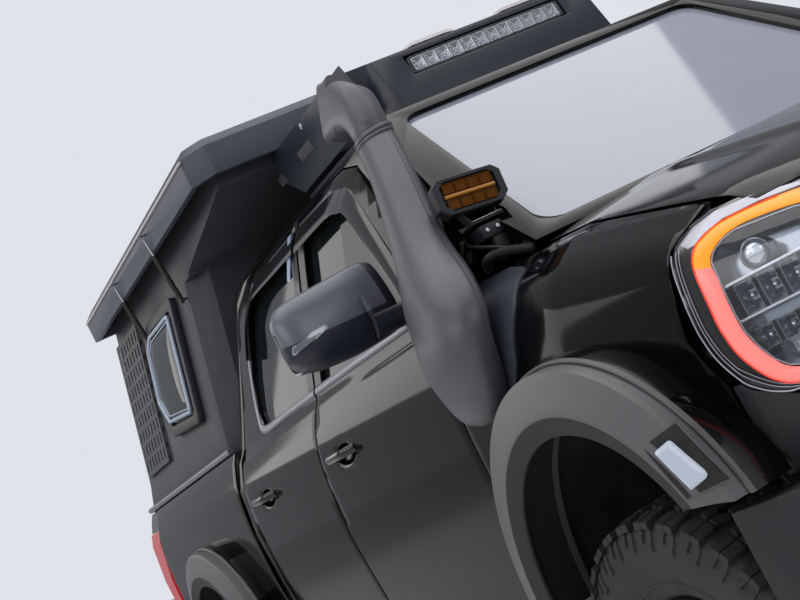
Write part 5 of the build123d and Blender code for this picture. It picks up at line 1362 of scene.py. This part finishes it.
def makeHeadlights():
    look = lampLook
    cutsU = steps(2.22, 2.60, 0.02) + steps(2.60, 2.68, 0.006)
    cutsZ = steps(0.94, 1.30, 0.02)

    def skin(name, outline, holes, depth, thickness, edge, radius=0.030):
        return trimmedSkin(name, roundedOutline(outline, radius), [roundedOutline(hole, 0.006) for hole in holes],
                           cutsU, cutsZ, lambda u, z: lampPlace(u, z, depth), thickness, edge)

    def add(name, mesh, finish, smooth=40.0):
        addPieceBoth(name, mesh, finish, "vehicle", smooth=smooth)

    bezel = skin("bezel", look["outer"], [look["opening"]], 0.004, 0.010, 0.002)
    opening = roundedOutline(look["opening"], 0.006)
    middleU, middleZ = look["bowlMiddle"]
    rings = []
    for depth, grow in ((0.008, 0.0), (look["bowlDepth"], 0.0), (look["bowlDepth"], 0.004), (0.008, 0.004)):
        rings.append([lampPlace(u + (u - middleU) * grow, z + (z - middleZ) * grow * 2, depth) for u, z in opening])
    rings.append(rings[0])
    walls = skinRings("walls", rings, closeEnds=False)
    add("headlampBezel", joinMeshes("bezel", [bezel, walls]), "glossTrim")
    floor = skin("bowlFloor", look["opening"], [], look["bowlDepth"], 0.004, 0.0)
    both = joinMeshes("headlampBowls", [floor, mirrorMesh("floorLeft", floor)])
    addPiece("headlampBowls", withMaterials(both, "lampCell"), None, "vehicle", ["headlights"], 30.0)

    # The guide is one band between two smooth lines; its upper part is amber
    outerLine = evenLine(look["guideOuter"][::-1] + look["sideOuter"][1:], look["guideSteps"])
    innerLine = evenLine(look["guideInner"] + look["sideInner"][::-1][1:], look["guideSteps"])
    bands = {"Top": [], "Side": []}
    for k, (a, b) in enumerate(zip(outerLine, innerLine)):
        ring = []
        for j in range(7):
            s = j / 6
            bulge = 0.0055 * math.sin(math.pi * s)
            ring.append(lampPlace(a[0] + (b[0] - a[0]) * s, a[1] + (b[1] - a[1]) * s, 0.003 - bulge))
        ring += [lampPlace(b[0], b[1], 0.010), lampPlace(a[0], a[1], 0.010)]
        if k <= look["amberEnd"]:
            bands["Top"].append(ring)
        if k >= look["amberEnd"]:
            bands["Side"].append(ring)
    for tag, finish in (("Top", "guideAmber"), ("Side", "guideCoral")):
        add("headlampGuide" + tag, skinRings("guide", bands[tag]), finish)
    redLine = [lampPlace(u, z, -0.0002) for u, z in outerLine[look["amberEnd"] - 20:]]
    add("headlampGuideLine", tubeAlong("line", redLine, 0.0014, 8), "guideRim")
    add("headlampWedge", skin("wedge", look["wedge"], [], 0.0005, 0.005, 0.0015, 0.004), "lampSilver")
    row = evenLine(look["rimLine"], 60)
    lines = [tubeAlong("line", [lampPlace(u + shift, z + shift * 0.25, 0.001) for u, z in row], radius, 8)
             for shift, radius in look["rimLines"]]
    add("headlampLines", joinMeshes("lines", lines), "lampSilver")
    innerRim = [lampPlace(u, z, 0.001) for u, z in opening]
    add("headlampInnerLine", tubeAlong("line", innerRim, 0.0018, 8, closed=True), "lampSilver")

    # Inside: shelves, reflector cells, round projectors and a row of small squares
    upward = Vector((0, 0, 1))

    def lampAlong(u, z, depth):
        return (lampPlace(u + 0.01, z, depth) - lampPlace(u - 0.01, z, depth)).normalized()

    bright, cells = [], []
    for z, first, last in look["shelves"]:
        row = [first + (last - first) * k / 12 for k in range(13)]
        bright.append(tubeAlong("shelf", [lampPlace(u, z, 0.006) for u in row], 0.0032, 8))
        rings = [[lampPlace(u, z + rise, depth) for rise, depth in look["shelfRing"]] for u in row]
        cells.append(skinRings("shelf", rings))
    for z, halfV in look["cellRows"]:
        for k in range(6):
            u = look["cellFrom"] + look["cellPitch"] * k
            centre, along = lampPlace(u, z, 0.018), lampAlong(u, z, 0.018)
            cells.append(cellMesh(centre, along, upward, 0.0185, halfV, 0.030, floor=0.35))
            out = along.cross(upward)
            bright.append(turnedMesh(centre - out * 0.022, out, look["bulb"], 16))
    for k in range(5):
        spot = (look["squareFrom"] + look["squarePitch"] * k, look["squareZ"], 0.014)
        bright.append(cellMesh(lampPlace(*spot), lampAlong(*spot), upward, 0.010, 0.009, 0.010, floor=0.6))
    for u in look["projectors"]:
        centre = lampPlace(u, look["projectorZ"], look["projectorDepth"])
        out = lampPlace(u, look["projectorZ"]) - centre
        cells.append(turnedMesh(centre, out, look["tube"], 48))
        bright.append(turnedMesh(centre, out, look["lens"], 48))
    add("headlampCells", joinMeshes("cells", cells), "lampCell", 25.0)
    add("headlampBright", joinMeshes("bright", bright), "lampChrome", 35.0)
    add("headlampCover", skin("cover", look["opening"], [], -0.002, 0.003, 0.0), "lampClear")


makeHeadlights()
print("headlights done")

# Light bar: a rounded case, a row of square reflectors and two bright plates over it
barLook = {
    "cells": 12, "pitch": 0.0465, "faceX": 0.700, "z": 2.172, "lean": -0.10, "cellHalf": 0.0205, "power": 14.0,
    "case": [(0.270, 0.022, -0.055), (0.288, 0.029, -0.050), (0.290, 0.030, -0.030), (0.290, 0.030, -0.006),
             (0.2885, 0.0285, -0.002), (0.284, 0.0255, -0.002), (0.283, 0.0245, -0.020)],
    "cover": [(0.282, 0.0235, -0.0022), (0.282, 0.0235, -0.0004)],
    "dot": [(0.0055, 0.0), (0.0055, 0.004), (0.003, 0.0075), (0.0, 0.0085)],
    "fins": 19, "finFrom": -0.27, "finPitch": 0.03, "finHalf": 0.0015, "finX": (0.646, 0.662), "finZ": (2.146, 2.198),
    "plates": [(-0.262, -0.082), (0.082, 0.262)], "plateX": 0.655, "plateZ": 2.236, "plateRise": 0.008,
}


def makeLightBar():
    look = barLook
    up, side = Vector((look["lean"], 0, 1)).normalized(), Vector((0, 1, 0))
    out = side.cross(up)
    face = Vector((look["faceX"], 0, look["z"]))

    # Rings from rows of half width, half height and distance before the face
    def section(key, points):
        return skinRings(key, [superRing(face + out * ahead, side, up, halfY, halfZ, look["power"], points)
                               for halfY, halfZ, ahead in look[key]])

    def add(name, meshes, finish, slotName, replaced=(), smooth=35.0):
        addPiece(name, joinMeshes(name, meshes), finish, "vehicle", replaced, smooth)

    parts = [section("case", 128)]
    for k in range(look["fins"]):
        y = look["finFrom"] + look["finPitch"] * k
        parts.append(boxMesh("fin", (look["finX"][0], y - look["finHalf"], look["finZ"][0]),
                             (look["finX"][1], y + look["finHalf"], look["finZ"][1])))
    add("lightBarCase", parts, "lampDark", "light_bar_metal", ["light_bar"])
    cells, dots = [], []
    for k in range(look["cells"]):
        y = (k - (look["cells"] - 1) / 2) * look["pitch"]
        centre = face + side * y + out * -0.004
        cells.append(cellMesh(centre, side, up, look["cellHalf"], look["cellHalf"] + 0.001, 0.014, floor=0.30))
        dots.append(turnedMesh(centre - out * 0.013, out, look["dot"], 12))
        for a, b in ((1, 1), (1, -1)):
            arm = [centre - out * 0.0015 + (side * a + up * b) * (0.018 * t) for t in (-1, -0.5, 0.5, 1)]
            dots.append(tubeAlong("arm", arm, 0.0012, 6))
    add("lightBarCells", cells, "lampCell", "light_bar_metal", smooth=25.0)
    add("lightBarDots", dots, "ledWhite", "lamp_lens")
    addPiece("lightBarCover", section("cover", 96), "lampClear", "vehicle", smooth=35.0)
    plates = []
    for y0, y1 in look["plates"]:
        rings = []
        for y, rise in ((y0, 0.0), (y0 + 0.022, look["plateRise"]), (y1 - 0.022, look["plateRise"]), (y1, 0.0)):
            centre = Vector((look["plateX"], y, look["plateZ"] + rise * 0.5))
            corners = ((-0.028, -0.006), (0.022, -0.006), (0.022, rise * 0.5), (-0.028, rise * 0.5 + 0.003))
            rings.append([centre + Vector((a, 0, b)) for a, b in corners])
        plates.append(skinRings("plate", rings))
    add("lightBarPlates", plates, "barPlate", "light_bar_metal", smooth=30.0)


makeLightBar()

# Pod light: an eight-sided case tilted on its bracket, amber panes in two rows, a clamp,
# a lead and a ribbed sleeve
podLook = {
    "centre": (1.438, -0.732, 1.637), "turn": -7.0, "lean": 4.0, "foot": (1.430, -0.728, 1.545),
    "body": [(-0.092, 0.030), (-0.074, 0.046), (0.074, 0.046), (0.092, 0.030), (0.092, -0.028), (0.070, -0.048),
             (-0.070, -0.048), (-0.092, -0.028)],
    "case": [(0.72, 0.70, -0.055), (0.97, 0.96, -0.030), (1.0, 1.0, -0.020), (1.0, 1.0, 0.014), (0.97, 0.95, 0.018),
             (0.80, 0.80, 0.018), (0.78, 0.78, 0.006)],
    "fin": [(-0.030, -0.050), (0.030, -0.050), (0.026, -0.066), (-0.026, -0.066)], "finPitch": 0.018,
    "paneHalf": 0.066, "paneRows": [(0.006, 0.033), (-0.034, -0.008)], "barY": (-0.066, -0.02, 0.02, 0.066),
    "leg": [(-0.014, 0), (0.014, 0), (0.014, 0.005), (-0.014, 0.005)],
    "bolt": [(0.006, 0.0), (0.006, 0.006), (0.004, 0.0075), (0.0, 0.0075)], "boltY": (-0.748, -0.718),
    "lead": [(1.395, -0.745, 1.600), (1.372, -0.760, 1.570), (1.390, -0.775, 1.528), (1.438, -0.780, 1.508),
             (1.492, -0.762, 1.482), (1.520, -0.740, 1.460)],
    "sleeve": [(1.380, -0.742, 1.438), (1.420, -0.770, 1.462), (1.470, -0.770, 1.470), (1.520, -0.748, 1.458),
               (1.560, -0.715, 1.436)],
    "ribs": 60, "ribRadius": 0.0125, "grooveRadius": 0.0100,
}


def makePodLight():
    look = podLook
    turn, lean = math.radians(look["turn"]), math.radians(look["lean"])
    side = Vector((0.10, math.cos(turn), math.sin(turn))).normalized()
    out = Vector((1, -0.10, math.tan(lean))).normalized()
    up = out.cross(side).normalized()
    side = up.cross(out).normalized()
    centre = Vector(look["centre"])

    def add(name, meshes, finish, slotName="light_bar_metal", replaced=(), smooth=30.0):
        addPiece(name, joinMeshes(name, meshes), finish, "vehicle", replaced, smooth)

    parts = [skinRings("case", [[centre + out * depth + side * (y * wide) + up * (z * high) for y, z in look["body"]]
                                for wide, high, depth in look["case"]])]
    for k in range(-3, 4):
        middle = centre + side * (look["finPitch"] * k)
        parts.append(skinRings("fin", [[middle + side * s + up * h + out * d for h, d in look["fin"]]
                                       for s in (-0.0015, 0.0015)]))
    add("podLightCase", parts, "bumperCoat", replaced=["pod_light"], smooth=25.0)
    panes, half = [], look["paneHalf"]
    for z0, z1 in look["paneRows"]:
        for k in range(4):
            a, b = -half + half * k / 2 + 0.0015, -half + half * (k + 1) / 2 - 0.0015
            middle = centre + side * (a + b) / 2 + up * (z0 + z1) / 2 + out * 0.015
            panes.append(cellMesh(middle, side, up, (b - a) / 2, (z1 - z0) / 2, 0.004, floor=0.85))
    add("podLightPanes", panes, "amberPane", "amber_lamp", smooth=20.0)
    bar = [centre + side * y + out * 0.014 - up * 0.001 for y in look["barY"]]
    addPiece("podLightBar", tubeAlong("bar", bar, 0.0045, 10), "amberGlow", "vehicle")
    bracket = []
    for s in (-1, 1):
        top = centre - up * 0.030 + side * 0.045 * s - out * 0.02
        low = Vector(look["foot"]) + Vector((0, 0.034 * s, 0.020))
        bracket.append(skinRings("leg", [[p + Vector((a, b * s, 0)) for a, b in look["leg"]]
                                         for p in (top, top.lerp(low, 0.6), low)]))
    bracket.append(boxMesh("plate", (1.405, -0.775, 1.556), (1.458, -0.682, 1.563), 0.002))
    bracket.append(boxMesh("clamp", (1.400, -0.765, 1.512), (1.462, -0.700, 1.548), 0.006))
    bracket.append(boxMesh("foot", (1.395, -0.742, 1.452), (1.455, -0.672, 1.520), 0.008))
    add("podLightBracket", bracket, "bumperCoat")
    bolts = [turnedMesh(Vector((1.459, y, 1.531)), Vector((1, 0, 0)), look["bolt"], 6) for y in look["boltY"]]
    strip = boxMesh("line", (1.402, -0.772, 1.5635), (1.461, -0.686, 1.5655), 0.0008)
    add("podLightBolts", bolts + [strip], "boltSilver")
    lead = [readCurve(look["lead"], k / 40) for k in range(41)]
    addPiece("podLightLead", tubeAlong("lead", lead, 0.0038, 10), "cableBlack", "vehicle")
    count = look["ribs"]
    path = [Vector(readCurve(look["sleeve"], k / count)) for k in range(count + 1)]
    rings = []
    for k, point in enumerate(path):
        along = (path[min(k + 1, count)] - path[max(k - 1, 0)]).normalized()
        across = along.cross(Vector((0, 0, 1))).normalized()
        radius = look["ribRadius"] if k % 2 else look["grooveRadius"]
        rings.append(superRing(point, across, along.cross(across), radius, radius, 2.0, 16))
    addPiece("podLightSleeve", skinRings("sleeve", rings), "cableBlack", "vehicle", smooth=50.0)


makePodLight()
print("light bar and pod light done")

# Door trim: belt moulding, strips on the pillar between the doors, rain visors and a clip
trimLook = {
    "beltFront": [[(1.130, 1.458), (0.80, 1.458), (0.50, 1.458), (0.238, 1.458)],
                  [(1.160, 1.434), (0.80, 1.434), (0.50, 1.434), (0.238, 1.434)]],
    "beltRear": [[(0.218, 1.458), (-0.10, 1.458), (-0.385, 1.458), (-0.452, 1.510), (-0.480, 1.640), (-0.470, 1.760),
                  (-0.440, 1.846), (-0.330, 1.902)],
                 [(0.218, 1.434), (-0.10, 1.434), (-0.400, 1.434), (-0.476, 1.498), (-0.506, 1.640), (-0.496, 1.768),
                  (-0.462, 1.864), (-0.340, 1.924)]],
    "stripFront": [[(0.238, 1.914), (0.297, 1.914)], [(0.238, 1.460), (0.297, 1.460)]],
    "stripRear": [[(0.159, 1.912), (0.216, 1.912)], [(0.159, 1.460), (0.218, 1.460)]],
    "visorFront": [[(1.080, 1.520), (0.920, 1.700), (0.760, 1.872), (0.700, 1.906), (0.620, 1.924), (0.430, 1.930),
                    (0.242, 1.932)],
                   [(1.050, 1.500), (0.885, 1.672), (0.732, 1.826), (0.672, 1.852), (0.600, 1.866), (0.430, 1.868),
                    (0.242, 1.866)]],
    "visorRear": [[(0.214, 1.932), (-0.10, 1.926), (-0.310, 1.920), (-0.420, 1.888), (-0.474, 1.820), (-0.500, 1.700)],
                  [(0.214, 1.872), (-0.10, 1.870), (-0.290, 1.866), (-0.380, 1.838), (-0.434, 1.790), (-0.462, 1.700)]],
    "clip": [[(0.190, 1.936), (0.158, 1.936)], [(0.182, 1.800), (0.152, 1.806)]],
}


def makeDoorTrim():
    # A band between two lines of (x, z), standing off the door's skin
    def piece(key, finish, place, raisedTop, raisedLow, thickness, bulge=0.0):
        top, low = trimLook[key]
        rings = []
        count = 60
        for k in range(count + 1):
            (x0, z0), (x1, z1) = readCurve(top, k / count), readCurve(low, k / count)
            outer, inner = [], []
            for j in range(7):
                s = j / 6
                x, z = x0 + (x1 - x0) * s, z0 + (z1 - z0) * s
                raised = raisedTop + (raisedLow - raisedTop) * s + bulge * math.sin(math.pi * s)
                y = cabHalfWidth(x, z) + raised
                outer.append(Vector((x, -y, z)))
                inner.append(Vector((x, -(y - thickness), z)))
            rings.append(outer + inner[::-1])
        addPieceBoth(key, skinRings(key, rings), finish, "door_%s_SIDE" % place, smooth=45.0)

    piece("beltFront", "beltSatin", "front", 0.003, 0.002, 0.008, 0.004)
    piece("beltRear", "beltSatin", "rear", 0.003, 0.002, 0.008, 0.004)
    piece("stripFront", "pillarStrip", "front", 0.0025, 0.0025, 0.006)
    piece("stripRear", "pillarStrip", "rear", 0.0025, 0.0025, 0.006)
    piece("visorFront", "glossTrim", "front", 0.003, 0.020, 0.003, 0.004)
    piece("visorRear", "glossTrim", "rear", 0.003, 0.020, 0.003, 0.004)
    piece("clip", "visorClip", "rear", 0.010, 0.022, 0.004)


makeDoorTrim()

# Camper side: bubble window in its frame with painted sky reflections on its curved edge, bolts on the slotted panel,
# rail on the bed's edge and a painted highlight along the lid's edge
sideLook = {
    "frame": [(-1.160, 2.134), (-1.635, 2.143), (-1.757, 2.077), (-1.795, 1.806), (-1.650, 1.652), (-1.180, 1.625)],
    "pane": [(-1.212, 2.092), (-1.618, 2.100), (-1.714, 2.050), (-1.749, 1.818), (-1.632, 1.696), (-1.226, 1.668)],
    "bolts": [(-2.360, 2.200), (-2.150, 2.201), (-1.935, 2.199), (-2.160, 2.023), (-2.000, 1.855), (-2.340, 1.852),
              (-2.180, 1.768), (-1.943, 1.612), (-2.370, 1.612)],
    "bolt": [(0.0085, 0.0), (0.0085, 0.005), (0.006, 0.008), (0.0, 0.0085)],
    "wallY": 0.8297, "wallZ": 1.5, "wallSlope": 0.221, "wallNormal": (0, -0.976, 0.216),
    "middle": (-1.48, 1.88), "paneRadius": 0.026, "paneReflectionLines": [(0.024, 0.0085), (0.0496, 0.0035)],
    "bubbleFoot": 0.014, "bubbleRise": 0.026, "bubbleRun": 0.030,
    "railZ": 1.459, "railY": -0.856, "railFrom": -2.520, "railTo": -0.890,
    "lidEdgeX": (-2.424, -1.8, -1.2, -0.6, -0.216), "lidEdgeY": -0.7545, "lidEdgeZ": 2.390,
}


def wallPoint(x, z, out=0.0):
    look = sideLook
    wall = Vector((x, -(look["wallY"] - look["wallSlope"] * (z - look["wallZ"])), z))
    return wall + Vector(look["wallNormal"]) * out


def makeCamperSide():
    look = sideLook
    paneLine = roundedOutline(look["pane"], look["paneRadius"])
    frameSkin = trimmedSkin("frame", roundedOutline(look["frame"], 0.030), [paneLine], [], [],
                            lambda x, z: wallPoint(x, z, 0.030), 0.030, 0.006)
    addPieceBoth("camperWindowFrame", frameSkin, "bumperCoat", "vehicle")

    def bubble(x, z):
        inside = max(insideShape((x, z), look["pane"]), 0.0)
        return wallPoint(x, z, look["bubbleFoot"] + look["bubbleRise"] * (1 - math.exp(-inside / look["bubbleRun"])))

    pane = trimmedSkin("pane", paneLine, [], steps(-1.79, -1.16, 0.025), steps(1.63, 2.14, 0.025), bubble, 0.004, 0.0)
    addPieceBoth("camperWindowBubble", pane, "tintGlass", "vehicle")
    # Two light lines round the bubble's curved edge: painted reflections of the sky
    tubes = []
    for inset, radius in look["paneReflectionLines"]:
        ring = []
        for corner in paneLine:
            p = Vector(corner)
            p += (Vector(look["middle"]) - p).normalized() * inset
            ring.append(wallPoint(p.x, p.y, 0.036))
        tubes.append(tubeAlong("edge", ring, radius, 10, closed=True))
    addPieceBoth("camperWindowReflectionLines", joinMeshes("edges", tubes), "paneReflectionLine", "vehicle")
    heads = [turnedMesh(wallPoint(x, z, 0.004), Vector(look["wallNormal"]), look["bolt"], 12) for x, z in look["bolts"]]
    addPieceBoth("camperPanelBolts", joinMeshes("heads", heads), "boltSilver", "vehicle")
    rail = [Vector((look["railFrom"] + (look["railTo"] - look["railFrom"]) * k / 8, look["railY"], look["railZ"]))
            for k in range(9)]
    addPieceBoth("camperBaseRail", tubeAlong("rail", rail, 0.013, 16), "beltSatin", "vehicle")
    # A light line along the lid's top edge: a painted highlight of the sky
    edge = [Vector((x, look["lidEdgeY"], look["lidEdgeZ"])) for x in look["lidEdgeX"]]
    addPieceBoth("camperLidHighlightLine", tubeAlong("edge", edge, 0.0055, 10), "lidEdgeHighlight", "camper_lid")


makeCamperSide()

# Nose plates: bolts and two groups of short louvre blades on each
noseLook = {
    "y": -0.4365, "bolts": [(0.120, 2.268), (0.470, 2.262)],
    "bolt": [(0.011, 0.0), (0.011, 0.004), (0.007, 0.007), (0.0, 0.0075)],
    "groups": [(-0.004, 0.118, 10, 0.0028), (-0.262, -0.206, 6, 0.0022)],
    "bladeTop": 2.216, "bladeLow": 2.180, "bladeLean": 0.016, "bladeBulge": 0.002,
}


def makeNoseDetails():
    look = noseLook
    y = look["y"]
    heads = [turnedMesh(Vector((x, y + 0.002, z)), Vector((0, -1, 0)), look["bolt"], 12) for x, z in look["bolts"]]
    addPieceBoth("nosePlateBolts", joinMeshes("heads", heads), "boltSilver", "vehicle")
    blades = []
    for x0, x1, count, radius in look["groups"]:
        for k in range(count):
            x = x0 + (x1 - x0) * k / (count - 1)
            top, low = Vector((x, y, look["bladeTop"])), Vector((x + look["bladeLean"], y, look["bladeLow"]))
            middle = top.lerp(low, 0.5) - Vector((0, look["bladeBulge"], 0))
            blades.append(tubeAlong("blade", [top, middle, low], radius, 8))
    addPieceBoth("nosePlateBlades", joinMeshes("blades", blades), "trimGrey", "vehicle")


makeNoseDetails()
print("door trim, camper side and nose plates done")
